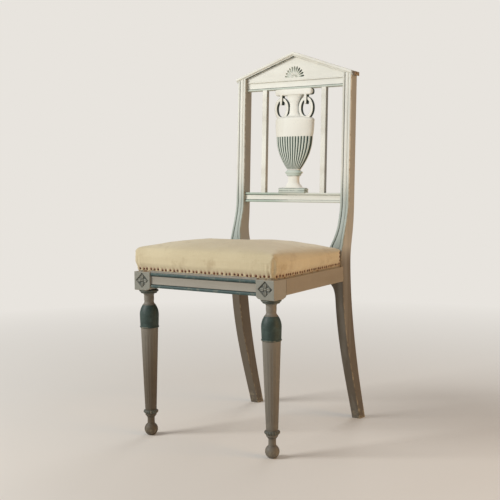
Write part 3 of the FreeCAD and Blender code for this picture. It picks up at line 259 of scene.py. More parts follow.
def math_node(tree, operation, a, b=None, clamp=False):
    """One operation on one or two numbers; clamp keeps the result between 0 and 1."""
    node = tree.nodes.new("ShaderNodeMath")
    node.operation = operation
    node.use_clamp = clamp
    for socket, value in zip(node.inputs, (a, b)):
        feed(tree, socket, value)
    return node.outputs[0]


def times(tree, a, b, clamp=False):
    """The product a b."""
    return math_node(tree, "MULTIPLY", a, b, clamp)


def plus(tree, a, b):
    """The sum a + b."""
    return math_node(tree, "ADD", a, b)


def mix_colour(tree, factor, first, second):
    """The first colour at factor 0, the second at factor 1, and a blend between."""
    node = tree.nodes.new("ShaderNodeMix")
    node.data_type = "RGBA"
    feed(tree, node.inputs["Factor"], factor)
    feed(tree, node.inputs[6], first)
    feed(tree, node.inputs[7], second)
    return node.outputs[2]


def noise(tree, place, scale, detail=4.0, roughness=0.55):
    """Cloudy values round 0.5; the scale is the number of clouds per metre."""
    node = tree.nodes.new("ShaderNodeTexNoise")
    feed(tree, node.inputs["Vector"], place)
    node.inputs["Scale"].default_value = scale
    node.inputs["Detail"].default_value = detail
    node.inputs["Roughness"].default_value = roughness
    return node.outputs["Fac"]


def ramp(tree, value, low, high):
    """Map a value to 0..1 between low and high."""
    node = tree.nodes.new("ShaderNodeMapRange")
    feed(tree, node.inputs["Value"], value)
    node.inputs["From Min"].default_value = low
    node.inputs["From Max"].default_value = high
    return node.outputs["Result"]


def stretched(tree, place, scale):
    """The place times a scale per axis: a small scale draws a pattern out along that axis."""
    node = tree.nodes.new("ShaderNodeMapping")
    feed(tree, node.inputs["Vector"], place)
    node.inputs["Scale"].default_value = scale
    return node.outputs["Vector"]


def srgb(red, green, blue):
    """A colour as a painter's chart gives it, 0 to 255, as linear values for a shader."""
    values = np.array([red, green, blue]) / 255.0
    linear = np.where(values <= 0.04045, values / 12.92, ((values + 0.055) / 1.055) ** 2.4)
    return (*linear.tolist(), 1.0)


def read_mask(tree, name):
    """One of the masks that the mesh carries on its vertices."""
    node = tree.nodes.new("ShaderNodeAttribute")
    node.attribute_name = name
    return node.outputs["Fac"]


def surface(name, metallic=0.0, sheen=0.0):
    """An empty material with a Principled shader; constants are set on its own sockets."""
    material = bpy.data.materials.new(name)
    material.use_nodes = True
    tree = material.node_tree
    tree.nodes.clear()
    shader = tree.nodes.new("ShaderNodeBsdfPrincipled")
    output = tree.nodes.new("ShaderNodeOutputMaterial")
    tree.links.new(shader.outputs["BSDF"], output.inputs["Surface"])
    shader.inputs["Metallic"].default_value = metallic
    shader.inputs["Sheen Weight"].default_value = sheen
    return material, tree, shader


def add_bump(tree, shader, height, strength, distance):
    """Tilt the shading by the slope of a height; a height of one is the distance in metres."""
    bump = tree.nodes.new("ShaderNodeBump")
    bump.inputs["Strength"].default_value = strength
    bump.inputs["Distance"].default_value = distance
    tree.links.new(height, bump.inputs["Height"])
    tree.links.new(bump.outputs["Normal"], shader.inputs["Normal"])


print("a middle grey in linear light:", [round(value, 3) for value in srgb(128, 128, 128)[:3]])

# %% [markdown]
# ## Layers of paint
# Grain runs along one direction of each piece, so the place is stretched before it reaches the
# noise. Wear shows where the worn mask meets a patchy noise, and it uncovers a chalky undercoat
# first and bare brown wood where it is deepest. The layers follow the order of the real ones:
# paint, glaze, green, dirt, wear and a last thin dust.

# %% Paint layers as a node group
# The dark thin paint is also painted shade on the legs and on the sides of posts and bars.
THIN_PAINT_AND_SHADE = srgb(84, 71, 53)
FADED_GREEN = srgb(104, 128, 120)
DIRT = srgb(52, 50, 42)
UNDERCOAT = srgb(158, 146, 122)
DUST = srgb(74, 66, 52)
paint_group, entry, way_out = new_group("old_paint", [
    ("Place", "NodeSocketVector", None),
    ("Grain Place", "NodeSocketVector", None),
    ("Green", "NodeSocketFloat", 0.0),
    ("Glaze", "NodeSocketFloat", 0.0),
    ("Thin_and_shade", "NodeSocketFloat", 0.0),
    ("Worn", "NodeSocketFloat", 0.0),
    ("Grime", "NodeSocketFloat", 0.0),
    ("Pale Paint", "NodeSocketColor", srgb(186, 180, 162)),
    ("Second Paint", "NodeSocketColor", srgb(150, 148, 134)),
    ("Streak Paint", "NodeSocketColor", srgb(128, 118, 98)),
    ("Green Paint", "NodeSocketColor", srgb(62, 88, 84)),
    ("Glaze Paint", "NodeSocketColor", srgb(142, 158, 150)),
    ("Bare Wood", "NodeSocketColor", srgb(120, 92, 62)),
], [("Colour", "NodeSocketColor", None), ("Roughness", "NodeSocketFloat", None),
    ("Height", "NodeSocketFloat", None)])
tree = paint_group
place = entry.outputs["Place"]
grain_place = entry.outputs["Grain Place"]
cloud = noise(tree, place, 9.0, 5.0)
fleck = noise(tree, place, 85.0, 5.0, 0.6)
speck = noise(tree, place, 320.0, 3.0, 0.6)
grain = noise(tree, grain_place, 60.0, 6.0, 0.6)
streak = noise(tree, grain_place, 16.0, 4.0, 0.5)
# Clouds and streaks of the pale paint, and the dark thin paint, which on legs and sides is painted
# shade.
pale = mix_colour(tree, times(tree, ramp(tree, cloud, 0.35, 0.7), 0.35),
                  entry.outputs["Pale Paint"], entry.outputs["Second Paint"])
pale = mix_colour(tree, times(tree, ramp(tree, streak, 0.50, 0.72), 0.34),
                  pale, entry.outputs["Streak Paint"])
thinned_and_shaded = times(tree, entry.outputs["Thin_and_shade"], ramp(tree, streak, -0.3, 0.42), clamp=True)
pale = mix_colour(tree, thinned_and_shaded, pale, THIN_PAINT_AND_SHADE)
pale = mix_colour(tree, entry.outputs["Glaze"], pale, entry.outputs["Glaze Paint"])
# The green, with an edge that the flecks make uneven.
green_edge = plus(tree, entry.outputs["Green"],
                  times(tree, math_node(tree, "SUBTRACT", fleck, 0.5), 0.5))
green_mask = ramp(tree, green_edge, 0.42, 0.58)
green = mix_colour(tree, times(tree, ramp(tree, fleck, 0.42, 0.70), 0.22),
                   entry.outputs["Green Paint"], FADED_GREEN)
painted = mix_colour(tree, green_mask, pale, green)
# Dirt in the hollows, then wear down to the undercoat and the wood.
dirt = times(tree, entry.outputs["Grime"], ramp(tree, fleck, 0.25, 0.6), clamp=True)
painted = mix_colour(tree, times(tree, dirt, 0.85), painted, DIRT)
rub = times(tree, entry.outputs["Worn"], ramp(tree, fleck, 0.40, 0.62), clamp=True)
scratch = times(tree, ramp(tree, grain, 0.62, 0.74), ramp(tree, cloud, 0.45, 0.62))
rub = math_node(tree, "MAXIMUM", rub, times(tree, scratch, 0.35))
undercoat = mix_colour(tree, ramp(tree, rub, 0.10, 0.40), painted, UNDERCOAT)
coloured = mix_colour(tree, ramp(tree, rub, 0.45, 0.75), undercoat, entry.outputs["Bare Wood"])
coloured = mix_colour(tree, times(tree, ramp(tree, speck, 0.60, 0.78), 0.22), coloured, DUST)
connect(tree, coloured, way_out.inputs["Colour"])
# Flecks are duller, grain and flecks stand up, and rubbed places lie low.
connect(tree, plus(tree, times(tree, fleck, 0.25), 0.45), way_out.inputs["Roughness"])
height = plus(tree, times(tree, grain, 0.55), times(tree, rub, -0.55))
height = plus(tree, height, times(tree, fleck, 0.35))
connect(tree, height, way_out.inputs["Height"])
print("nodes in the paint group:", len(tree.nodes))

# %% [markdown]
# ## Six paints
# The same layers serve every painted piece, so a material only says which way its grain runs and
# which colours it has. The near-white of the back, the posts and the urn is painted sunlight, and
# the darker grey of the legs is painted shade; each has its own shade of green. The clouds and
# streaks are the pale paint's own darker shades, which saves choosing them six times.

# %% Painted materials
SECOND_SHADE = (0.70, 0.72, 0.74)
STREAK_SHADE = (0.52, 0.47, 0.40)
GRAIN_STRETCH = 0.06


def shaded(colour, shade):
    """A colour whose red, green and blue are each multiplied by a share."""
    return tuple(value * share for value, share in zip(colour, shade)) + (1.0,)


def paint(name, grain_axis, pale_paint, green_paint=srgb(62, 88, 84),
          glaze_paint=srgb(142, 158, 150)):
    """Painted wood whose grain runs along X, Y or Z."""
    material, tree, shader = surface(name)
    coordinates = tree.nodes.new("ShaderNodeTexCoord").outputs["Object"]
    group = tree.nodes.new("ShaderNodeGroup")
    group.node_tree = paint_group
    scale = [1.0, 1.0, 1.0]
    scale["XYZ".index(grain_axis)] = GRAIN_STRETCH
    connect(tree, coordinates, group.inputs["Place"])
    connect(tree, stretched(tree, coordinates, scale), group.inputs["Grain Place"])
    for mask in MASKS:
        connect(tree, read_mask(tree, mask), group.inputs[mask.capitalize()])
    group.inputs["Pale Paint"].default_value = pale_paint
    group.inputs["Second Paint"].default_value = shaded(pale_paint, SECOND_SHADE)
    group.inputs["Streak Paint"].default_value = shaded(pale_paint, STREAK_SHADE)
    group.inputs["Green Paint"].default_value = green_paint
    group.inputs["Glaze Paint"].default_value = glaze_paint
    connect(tree, group.outputs["Colour"], shader.inputs["Base Color"])
    connect(tree, group.outputs["Roughness"], shader.inputs["Roughness"])
    add_bump(tree, shader, group.outputs["Height"], 0.35, 0.0006)
    return material


# The legs' dark grey is painted shade; the near-white of posts, back and urn is painted sunlight.
shaded_leg_paint = paint("shaded_paint_on_legs", "Z", srgb(128, 122, 110), srgb(38, 56, 51), srgb(84, 92, 84))
rail_paint = paint("paint_on_rails_across", "X", srgb(154, 148, 135), srgb(46, 70, 68))
side_paint = paint("paint_on_rails_along", "Y", srgb(150, 138, 118))
sunlit_post_paint = paint("sunlit_paint_on_posts", "Z", srgb(232, 231, 220), srgb(60, 84, 74),
                   srgb(128, 148, 142))
sunlit_upper_paint = paint("sunlit_paint_on_back_across", "X", srgb(236, 235, 224), srgb(74, 98, 86),
                    srgb(160, 178, 164))
sunlit_urn_paint = paint("sunlit_paint_on_urn", "Z", srgb(240, 238, 227), srgb(48, 72, 62),
                  srgb(158, 178, 166))
print("painted materials:", len(bpy.data.materials))

# %% [markdown]
# ## Turned front legs
# The real leg was turned on a lathe, so its shape is one profile spun round an axis. The profile is
# a list of corners with arcs between them. Shallow flutes on the shaft and a row of beads on the
# knop are a second, small wave round the axis that is taken off the radius. A Screw modifier could
# spin the profile too, but it couldn't cut the flutes.

# %% Lathe a leg
KNOP_FOOT, KNOP_TOP = 53.7, 62.2
SHAFT_TOP = 263.5
BULB_TOP = 318.3
FLANGE_FOOT = 346.9
FLUTES = 16
KNOP_BEADS = 18
# Lines of dirt round the leg: height, width and strength of each.
LEG_DIRT = [(28.6, 2.0, 0.45), (46.0, 2.2, 0.60), (63.8, 2.0, 0.50), (320.0, 1.3, 0.50),
            (346.4, 1.2, 0.50)]
LEG_PROFILE = [
    (0.0, 0.0), (6.9, 0.0, 0.29), (9.2, 28.4, -0.03), (9.0, 44.2), (10.5, 45.6), (12.2, 48.5, 0.25),
    (13.2, 51.8), (14.3, 53.4), (15.2, 54.2, 0.36), (15.2, 62.0), (13.4, 63.2), (13.9, 66.0),
    (20.9, 263.2), (21.6, 263.6, 0.35), (21.9, 267.6), (22.0, 268.4), (22.8, 291.0, 0.08),
    (16.2, 317.6), (15.2, 319.4, -0.16), (11.8, 329.5), (12.0, 338.0, -0.14), (14.6, 346.4),
    (18.4, 347.0, 0.32), (18.8, 350.4), (21.6, 350.8, 0.34), (21.6, 355.4), (0.0, 355.6),
]


def turned_leg(side):
    """Rows (r cos a, r sin a, z) for a radius r at each height z.

    The sixteen flutes take (1 - |cos 8a|)^2 off the radius of the shaft, and the gaps between the
    eighteen beads take 1 - |sin 9a| off the radius of the knop."""
    profile = filled(bulged(LEG_PROFILE, steps=12), 1.6)
    angle = np.linspace(0, 2 * math.pi, 128, endpoint=False)
    radius = np.maximum(profile[:, 0:1], 0.02)
    height = profile[:, 1:2]
    shaft = smooth_step(70, 84, height) * (1 - smooth_step(240, 256, height))
    flute = (1 - np.abs(np.cos(FLUTES / 2 * angle))) ** 2
    knop = smooth_step(KNOP_FOOT - 0.9, KNOP_FOOT + 0.9, height)
    knop = knop * (1 - smooth_step(KNOP_TOP - 0.8, KNOP_TOP + 0.8, height))
    bead = np.abs(np.sin(KNOP_BEADS / 2 * angle))
    shaped = radius - 0.55 * shaft * flute - 0.9 * knop * (1 - bead)
    rows = np.stack([side * LEG_X + shaped * np.cos(angle), LEG_Y + shaped * np.sin(angle),
                     np.broadcast_to(height, shaped.shape)], axis=-1)
    bulb = smooth_step(SHAFT_TOP - 0.2, SHAFT_TOP + 0.2, height)
    bulb = bulb * (1 - smooth_step(BULB_TOP - 0.7, BULB_TOP + 0.7, height))
    flange = smooth_step(FLANGE_FOOT - 0.3, FLANGE_FOOT + 0.3, height)
    worn = 0.20 * (1 - smooth_step(14, 34, height)) + 0.30 * knop * bead
    grime = sum(strength * line_at(height, level, width) for level, width, strength in LEG_DIRT)
    grime = grime + 0.75 * knop * (1 - bead) + 0.28 * shaft * flute + 0.35 * flange + 0.3 * knop
    grime = grime + 0.8 * (1 - smooth_step(1, 5, height)) + 0.3 * (1 - smooth_step(30, 150, height))
    # Painted shade: the lower leg gets dark thin paint, much more on the left leg than on the
    # right.
    darkened = 0.85 if side < 0 else 0.28
    masks = {"green": bulb + 0.42 * flange + 0.42 * knop, "glaze": 0.9 * flange + 0.8 * knop,
             "thin_and_shade": darkened * (1 - smooth_step(120, 290, height)),
             "worn": worn + 0.25 * line_at(height, SHAFT_TOP + 2.0, 1.6), "grime": grime}
    return rows, {mask: values + 0 * shaped for mask, values in masks.items()}


for label, side in (("left", -1), ("right", 1)):
    rows, masks = turned_leg(side)
    finish_piece(add_loft("turned_leg_" + label, rows, masks, sharp=50),
                 ["front_leg_" + label], shaded_leg_paint)

# %% [markdown]
# ## Square blocks with a carved flower
# Above the turning, the leg stays square to take the rails. Its front is carved: a lozenge is sunk
# into the face, and four leaves with a boss between them are left standing in it. A rounded box is
# a box shrunk by the radius, with every surface point pushed out by that radius along its own
# direction. The carving is then a depth taken off the front, so that it needs no cutting of meshes.

# %% Carve the blocks
LEAF_PLACE = 8.4
LEAF_REACH = 7.0
LEAF_WIDTH = 4.3
LOZENGE_ACROSS, LOZENGE_UP = 19.5, 18.0
LOZENGE_DEPTH = 2.2
BOSS_RING = 3.6
BOSS_RING_DEPTH = 1.4
FLOWER_LIFT = 1.6
BLOCK_ROUNDING = 1.3


def box_grid(size, cells):
    """Six faces of a box of that size about its centre, each a grid of cells; edges meet."""
    points = []
    faces = []
    for axis in range(3):
        one, two = (axis + 1) % 3, (axis + 2) % 3
        a = np.linspace(-0.5, 0.5, cells[one] + 1) * size[one]
        b = np.linspace(-0.5, 0.5, cells[two] + 1) * size[two]
        grid_a, grid_b = np.meshgrid(a, b, indexing="ij")
        for sign in (-0.5, 0.5):
            sheet = np.zeros(grid_a.shape + (3,))
            sheet[..., axis] = sign * size[axis]
            sheet[..., one] = grid_a
            sheet[..., two] = grid_b
            start = sum(len(part) for part in points)
            index = start + np.arange(grid_a.size).reshape(grid_a.shape)
            quads = np.stack([index[:-1, :-1], index[1:, :-1], index[1:, 1:], index[:-1, 1:]],
                             axis=-1)
            points.append(sheet.reshape(-1, 3))
            faces.extend(quads.reshape(-1, 4).tolist())
    return np.concatenate(points), faces


def round_box(points, size, radius):
    """Push every point of a box out from the shrunken core by the radius."""
    half = np.array(size) / 2 - radius
    core = np.clip(points, -half, half)
    way = points - core
    reach = np.linalg.norm(way, axis=1, keepdims=True)
    return core + np.where(reach > 0, way / np.maximum(reach, 1e-9), 0) * radius


def leaf_cover(u, v):
    """One inside the four leaves, nothing outside; a leaf is the overlap of two parabolas."""
    cover = np.zeros(np.broadcast(u, v).shape)
    for along, across in ((u, v), (v, u)):
        half_width = LEAF_WIDTH * (1 - ((np.abs(along) - LEAF_PLACE) / LEAF_REACH) ** 2)
        cover = np.maximum(cover, np.clip((half_width - np.abs(across)) / 1.2, 0, 1))
    return cover


def flower_depth(u, v):
    """Depth of the carved flower at (u, v) from its middle, in millimetres.

    The ground is a sunk lozenge, |u|/a + |v|/b < 1. Four leaves stand in it, each with a vein,
    round a small boss with a ring about it."""
    lozenge = 1 - smooth_step(0.93, 1.03, np.abs(u) / LOZENGE_ACROSS + np.abs(v) / LOZENGE_UP)
    radius = np.hypot(u, v)
    vein = line_at(np.minimum(np.abs(u), np.abs(v)), 0, 0.8) * smooth_step(3.5, 6.0, radius)
    leaves = leaf_cover(u, v) * (1 - 0.55 * vein) * smooth_step(3.2, 4.4, radius)
    standing = np.maximum(leaves, 1 - smooth_step(2.2, 3.0, radius))
    ring = BOSS_RING_DEPTH * line_at(radius, BOSS_RING, 0.9)
    return lozenge * np.maximum(LOZENGE_DEPTH * (1 - standing), ring)


def corner_block(side):
    """The block: a rounded box, its underside lifted towards the rails in a step and a curve."""
    size = (BLOCK, BLOCK, SHOW_TOP - BLOCK_FOOT)
    points, faces = box_grid(size, (68, 68, 62))
    points = round_box(points, size, BLOCK_ROUNDING)
    inward = -side * points[:, 0]
    back = points[:, 1]
    reach = np.maximum(inward, back) + BLOCK / 2
    lift = 1.8 * smooth_step(37, 39, reach) + 4.4 * smooth_step(41, 49, reach) ** 1.3
    weight = np.clip((size[2] / 2 - points[:, 2]) / size[2], 0, 1) ** 6
    points[:, 2] += lift * weight
    front = np.clip((-points[:, 1] - (BLOCK / 2 - 0.6)) / 0.5, 0, 1)
    depth = flower_depth(points[:, 0], points[:, 2] - FLOWER_LIFT) * front
    points[:, 1] += depth
    edge = np.sort(np.abs(points) - np.array(size) / 2, axis=1)[:, 1]
    sunk = np.clip(depth / 1.5, 0, 1)
    masks = {"green": 0.50 * sunk, "glaze": 0.22 * front, "thin_and_shade": 0.30 * front,
             "worn": 0.6 * smooth_step(-1.6, -0.2, edge), "grime": 0.9 * sunk}
    points += np.array([side * LEG_X, LEG_Y, (BLOCK_FOOT + SHOW_TOP) / 2])
    return points, faces, masks


def block_stub(side):
    """Bare wood above the block, set back under the cloth, with a round outer corner."""
    turn = np.linspace(0, math.pi / 2, 8)
    edge = BLOCK / 2 - REBATE
    corner = 12.0
    bend = np.stack([edge - corner + corner * np.sin(turn), -edge + corner - corner * np.cos(turn)],
                    axis=1)
    outline = np.concatenate([
        [[-BLOCK / 2 + 0.2, -edge]], bend,
        [[edge, BLOCK / 2 - 0.2], [-BLOCK / 2 + 0.2, BLOCK / 2 - 0.2]]])
    level = np.array([SHOW_TOP - 0.4, SHOW_TOP + 4, FRAME_TOP - 0.6])[:, None]
    x = side * (LEG_X + outline[None, :, 0])
    rows = np.stack(np.broadcast_arrays(x, LEG_Y + outline[None, :, 1], level), axis=-1)
    return rows, {"worn": np.ones(len(outline))}


for label, side in (("left", -1), ("right", 1)):
    points, faces, masks = corner_block(side)
    finish_piece(add_piece("leg_block_" + label, points, faces, masks, sharp=55),
                 [], rail_paint)
    rows, masks = block_stub(side)
    finish_piece(add_loft("leg_stub_" + label, rows, masks), [], shaded_leg_paint)

# %% [markdown]
# ## Mouldings along the rails
# A plane cut the beads and quirks along the front rail, the crossrail and the architrave, so each
# of them is one profile carried along a straight path. The profile is a closed outline with its
# painting masks beside it: a bead is green on its crest and dirty in the quirk at its foot. A curve
# object with a bevel would give the same shape, but not the masks.

# %% Moulded profiles
QUIRK_DEPTH = 1.5
RAIL_STEPS = 40


def bead_rows(face, low, high, crest):
    """A half round bead from low to high that stands crest in front of the face."""
    turn = np.linspace(0, math.pi, 13)
    middle, half = (low + high) / 2, (high - low) / 2
    return np.stack([face - crest * np.sin(turn), middle - half * np.cos(turn)], axis=1)


def moulded_profile(face, foot, top, bead, crest, back, hollow, quirk=1.5, upper=None):
    """Closed outline (depth, height) from the foot to the top, with its green and grime masks.

    Two beads run along the edges; a quirk beside each of them is cut back, and the field between
    them is hollowed by a shallow arc."""
    share = np.linspace(0, 1, 17)[1:-1]
    field_low, field_high = foot + bead + quirk, top - bead - quirk
    field = np.stack([face + 0.4 + hollow * np.sin(share * math.pi),
                      field_low + share * (field_high - field_low)], axis=1)
    floor = face + QUIRK_DEPTH
    # Each part has its points, its green and its grime.
    parts = [
        (bead_rows(face, foot, foot + bead, crest), 1.0, 0.0),
        (np.array([[floor, foot + bead + 0.3], [floor, field_low - 0.3]]), 0.7, 1.0),
        (np.array([[face + 0.4, field_low]]), 0.0, 0.5),
        (field, 0.0, 0.0),
        (np.array([[face + 0.4, field_high]]), 0.0, 0.5),
        (np.array([[floor, field_high + 0.3], [floor, top - bead - 0.3]]), 0.7, 1.0),
        (bead_rows(face, top - bead, top, crest), 1.0, 0.0),
    ]
    end = upper if upper is not None else top
    if upper is not None:
        parts.append((np.array([[face + 0.2, top + 0.2], [face + 0.2, end]]), 0.0, 0.25))
    parts.append((np.array([[back - 1.0, end], [back, end - 1.0], [back, foot + 1.0],
                            [back - 1.0, foot]]), 0.0, 0.1))
    outline = np.concatenate([part[0] for part in parts])
    green = np.concatenate([np.full(len(part[0]), part[1]) for part in parts])
    grime = np.concatenate([np.full(len(part[0]), part[2]) for part in parts])
    return outline, {"green": green, "grime": grime, "worn": 0.16 * green * (1 - grime)}


def straight_rail(outline, ends, leaning):
    """Carry an outline (depth, height) along X between two ends, upright or in the leaning back."""
    x = np.linspace(ends[0], ends[1], RAIL_STEPS)[:, None]
    depth, height = outline[None, :, 0], outline[None, :, 1]
    if leaning:
        return in_back(x, depth, height)
    return np.stack(np.broadcast_arrays(x, depth, height), axis=-1)


def thin_lines(masks, share, sunlit_fade):
    """Paint for the back's rails: a wash on the beads, full green only in the quirks.

    The last argument is a column, one value per row along X: 1 where painted sunlight has nearly
    washed the lines out, so that what stays of a line is one minus it."""
    quirk = (masks["grime"] > 0.9) * (masks["green"] > 0.5)
    kept = 1 - sunlit_fade
    return {"green": np.where(quirk, 1.0 - 0.75 * sunlit_fade, share * masks["green"] * kept),
            "glaze": 0.75 * masks["green"] * kept + 0.12 * masks["green"],
            "grime": 0.6 * masks["grime"] * (1 - 0.5 * sunlit_fade),
            "worn": 0.5 * masks["worn"] * kept}


outline, masks = moulded_profile(FRONT_Y + 4, RAIL_FOOT, SHOW_TOP - 1.5, bead=7.0, crest=2.0,
                                 back=FRONT_Y + 26, hollow=0.9, upper=FRAME_TOP)
block_inner = HALF_FRONT - BLOCK
rows = straight_rail(outline, (-block_inner, block_inner), False)
finish_piece(add_loft("front_rail_moulded", rows, masks), ["front_rail"], rail_paint)

between_posts = (-POST_INNER, POST_INNER)
along_x = np.linspace(*between_posts, RAIL_STEPS)[:, None]
outline, masks = moulded_profile(7.8, -25.0, 0.0, bead=5.6, crest=1.7, back=24.0, hollow=0.5,
                                 quirk=1.3)
# The lines of the crossrail fade towards its right end: painted sunlight washes them out there.
masks = thin_lines(masks, 0.30, 0.85 * smooth_step(-70, 10, along_x))
finish_piece(add_loft("crossrail_moulded", straight_rail(outline, between_posts, True), masks),
             ["crossrail"], sunlit_upper_paint)

outline, masks = moulded_profile(9.8, BACK_OPENING, ARCHITRAVE_TOP, bead=4.6, crest=1.7, back=26.0,
                                 hollow=0.4, quirk=1.2)
# Only the lower bead of the architrave is picked out.
above_lower_bead = slice(20, None)
masks["green"][above_lower_bead] = 0.0
masks["grime"][above_lower_bead] *= 0.4
# Painted sunlight washes the architrave's lines out by nearly half all along.
masks = thin_lines(masks, 0.15, 0.45 + 0 * along_x)
finish_piece(add_loft("architrave_moulded", straight_rail(outline, between_posts, True), masks),
             ["architrave"], sunlit_upper_paint)

# %% [markdown]
# ## Plain rails
# The side rails and the rear rail are plain boards with eased edges. Each is a rounded outline
# carried from one end to the other. The side rails are splayed, so the two ends differ in X. A cube
# with a Bevel modifier would do as well, but the points of an outline carry the rubbed corners.

# %% Plain boards
SIDE_RAIL_THICK = 22.0
REAR_RAIL_THICK = 20.0
REAR_RAIL_Y = 141.5


def rounded_rectangle(width, height, radius, steps=5):
    """Closed outline about (0, 0), counterclockwise, with quarter round corners."""
    turn = np.linspace(0, math.pi / 2, steps)
    points = []
    for quarter, (sx, sy) in enumerate(((1, -1), (1, 1), (-1, 1), (-1, -1))):
        angle = turn + (quarter - 1) * math.pi / 2
        points.append(np.stack([sx * (width / 2 - radius) + radius * np.cos(angle),
                                sy * (height / 2 - radius) + radius * np.sin(angle)], axis=1))
    return np.concatenate(points)


def with_rims(outline, rim=2.5):
    """Put extra points near both ends of every long edge, so that wear stays at the corners."""
    points = []
    for start, stop in zip(outline, np.roll(outline, -1, axis=0)):
        points.append(start)
        run = np.linalg.norm(stop - start)
        if run > 3 * rim:
            for share in (rim / run, 0.5, 1 - rim / run):
                points.append(start + share * (stop - start))
    return np.array(points)


def board_masks(outline, amount=0.6):
    """Rubbed corners: full at the outline's bends, nothing where it runs straight."""
    before = outline - np.roll(outline, 1, axis=0)
    after = np.roll(outline, -1, axis=0) - outline
    cross = before[:, 0] * after[:, 1] - before[:, 1] * after[:, 0]
    size = np.linalg.norm(before, axis=1) * np.linalg.norm(after, axis=1)
    return {"worn": amount * (np.abs(cross) / size > 0.05)}


def plain_side_rail(side):
    """The outer face runs from the block's corner to the rear leg: x = x0 - splay (y - y0).

    Its outline has a rebate along the top, in which the seat's cloth is tacked."""
    inner = -SIDE_RAIL_THICK
    outline = with_rims(np.array([
        (inner + 1, RAIL_FOOT), (-1.2, RAIL_FOOT), (-0.3, RAIL_FOOT + 0.3), (0.0, RAIL_FOOT + 1.2),
        (0.0, SHOW_TOP - 1.0), (-0.3, SHOW_TOP - 0.3), (-1.0, SHOW_TOP), (-REBATE, SHOW_TOP),
        (-REBATE, FRAME_TOP - 1), (-REBATE - 1, FRAME_TOP), (inner + 1, FRAME_TOP),
        (inner, FRAME_TOP - 1), (inner, RAIL_FOOT + 1)]))
    y = np.linspace(BLOCK_BACK, LEG_FRONT, 60)[:, None]
    outer = HALF_FRONT - SPLAY * (y - BLOCK_BACK)
    x = side * (outer + outline[None, :, 0])
    z = outline[None, :, 1]
    rows = np.stack(np.broadcast_arrays(x, y, z), axis=-1)
    masks = board_masks(outline)
    masks["worn"] = np.maximum(masks["worn"], outline[:, 1] > SHOW_TOP + 0.5)
    return rows, masks


for label, side in (("left", -1), ("right", 1)):
    rows, masks = plain_side_rail(side)
    finish_piece(add_loft("side_rail_board_" + label, rows, masks), ["side_rail_" + label],
                 side_paint)
outline = with_rims(rounded_rectangle(REAR_RAIL_THICK, FRAME_TOP - RAIL_FOOT, 1.0))
middle = np.array([REAR_RAIL_Y, (FRAME_TOP + RAIL_FOOT) / 2])
rows = straight_rail(outline + middle, (-SEAT_INNER, SEAT_INNER), False)
finish_piece(add_loft("rear_rail_board", rows, board_masks(outline)), ["rear_rail"],
             rail_paint)

# %% [markdown]
# ## Rear legs and posts
# Leg and post were sawn from one plank: a sabre leg below, a leaning post above, and a swelling
# towards the seat's middle where the rails go in. Seen from the side the outline is two smooth
# curves, and seen from the front only the inner edge bends. The three edges are worked out first,
# as cubic curves joined by straight runs, so that each can be checked by itself.

# %% Rear leg outlines


def bezier(points, steps=60):
    """Points of a cubic: (1-t)^3 a + 3 t (1-t)^2 b + 3 t^2 (1-t) c + t^3 d."""
    share = np.linspace(0, 1, steps)[:, None]
    a, b, c, d = (np.array(point, float) for point in points)
    rest = 1 - share
    return rest ** 3 * a + 3 * share * rest ** 2 * b + 3 * share ** 2 * rest * c + share ** 3 * d


def face_y(level):
    """Y of the posts' front at a level: y0 + (level - z0) tan(lean)."""
    return BACK_LINE + (level - BACK_FOOT) * math.tan(LEAN)


POST_SLICE = POST_DEPTH / math.cos(LEAN)
FLARE_Y = 109.3
LEG_REAR = 156.5
FOOT_FRONT, FOOT_REAR = 204.7, 231.5
FLARE_TOP = 412.0
FRONT_STRAIGHT, REAR_STRAIGHT = 562.5, 544.5
front_curve = np.concatenate([
    bezier([(FOOT_FRONT, 0), (LEG_FRONT + 0.67 * (FOOT_FRONT - LEG_FRONT), 0.25 * RAIL_FOOT),
            (LEG_FRONT, 0.62 * RAIL_FOOT), (LEG_FRONT, RAIL_FOOT)]),
    [[LEG_FRONT, SHOW_TOP - 0.1], [FLARE_Y, SHOW_TOP + 0.1]],
    bezier([(FLARE_Y, FLARE_TOP), (FLARE_Y, FLARE_TOP + 0.32 * (FRONT_STRAIGHT - FLARE_TOP)),
            (face_y(FRONT_STRAIGHT) - 1.5, FLARE_TOP + 0.65 * (FRONT_STRAIGHT - FLARE_TOP)),
            (face_y(FRONT_STRAIGHT), FRONT_STRAIGHT)]),
    [[face_y(900), 900]]])
rear_curve = np.concatenate([
    bezier([(FOOT_REAR, 0), (FOOT_REAR - 0.29 * (FOOT_REAR - LEG_REAR), 0.2 * RAIL_FOOT),
            (LEG_REAR + 0.05 * (FOOT_REAR - LEG_REAR), 0.65 * RAIL_FOOT), (LEG_REAR, 393)]),
    bezier([(LEG_REAR, 415), (157.0, 455), (face_y(REAR_STRAIGHT) + POST_SLICE - 3.7, 475),
            (face_y(REAR_STRAIGHT) + POST_SLICE, REAR_STRAIGHT)]),
    [[face_y(900) + POST_SLICE, 900]]])
inner_curve = np.concatenate([
    [[POST_INNER, 0], [POST_INNER, 313]],
    bezier([(POST_INNER, 313), (POST_INNER, 336), (SEAT_INNER + 7, 350), (SEAT_INNER, 352)]),
    bezier([(SEAT_INNER, 446), (SEAT_INNER + 5, 460), (POST_INNER, 476), (POST_INNER, 504)]),
    [[POST_INNER, 900]]])


def along(curve, level):
    """The curve's place at a level, on straight lines between its points."""
    return np.interp(level, curve[:, 1], curve[:, 0])


print("depth of leg and post at the seat:", round(along(rear_curve, SHOW_TOP - 1)
                                                  - along(front_curve, SHOW_TOP - 1), 1), "mm")

# %% [markdown]
# ## Slices of leg and post
# A row of the loft is a level slice of the piece. Above the seat its front carries a bead along
# each edge and a quirk beside it, and they fade out behind the cushion: the moulded slice and the
# plain one are mixed by a number between 0 and 1. Every slice has the same number of points, so the
# rows join up by themselves.

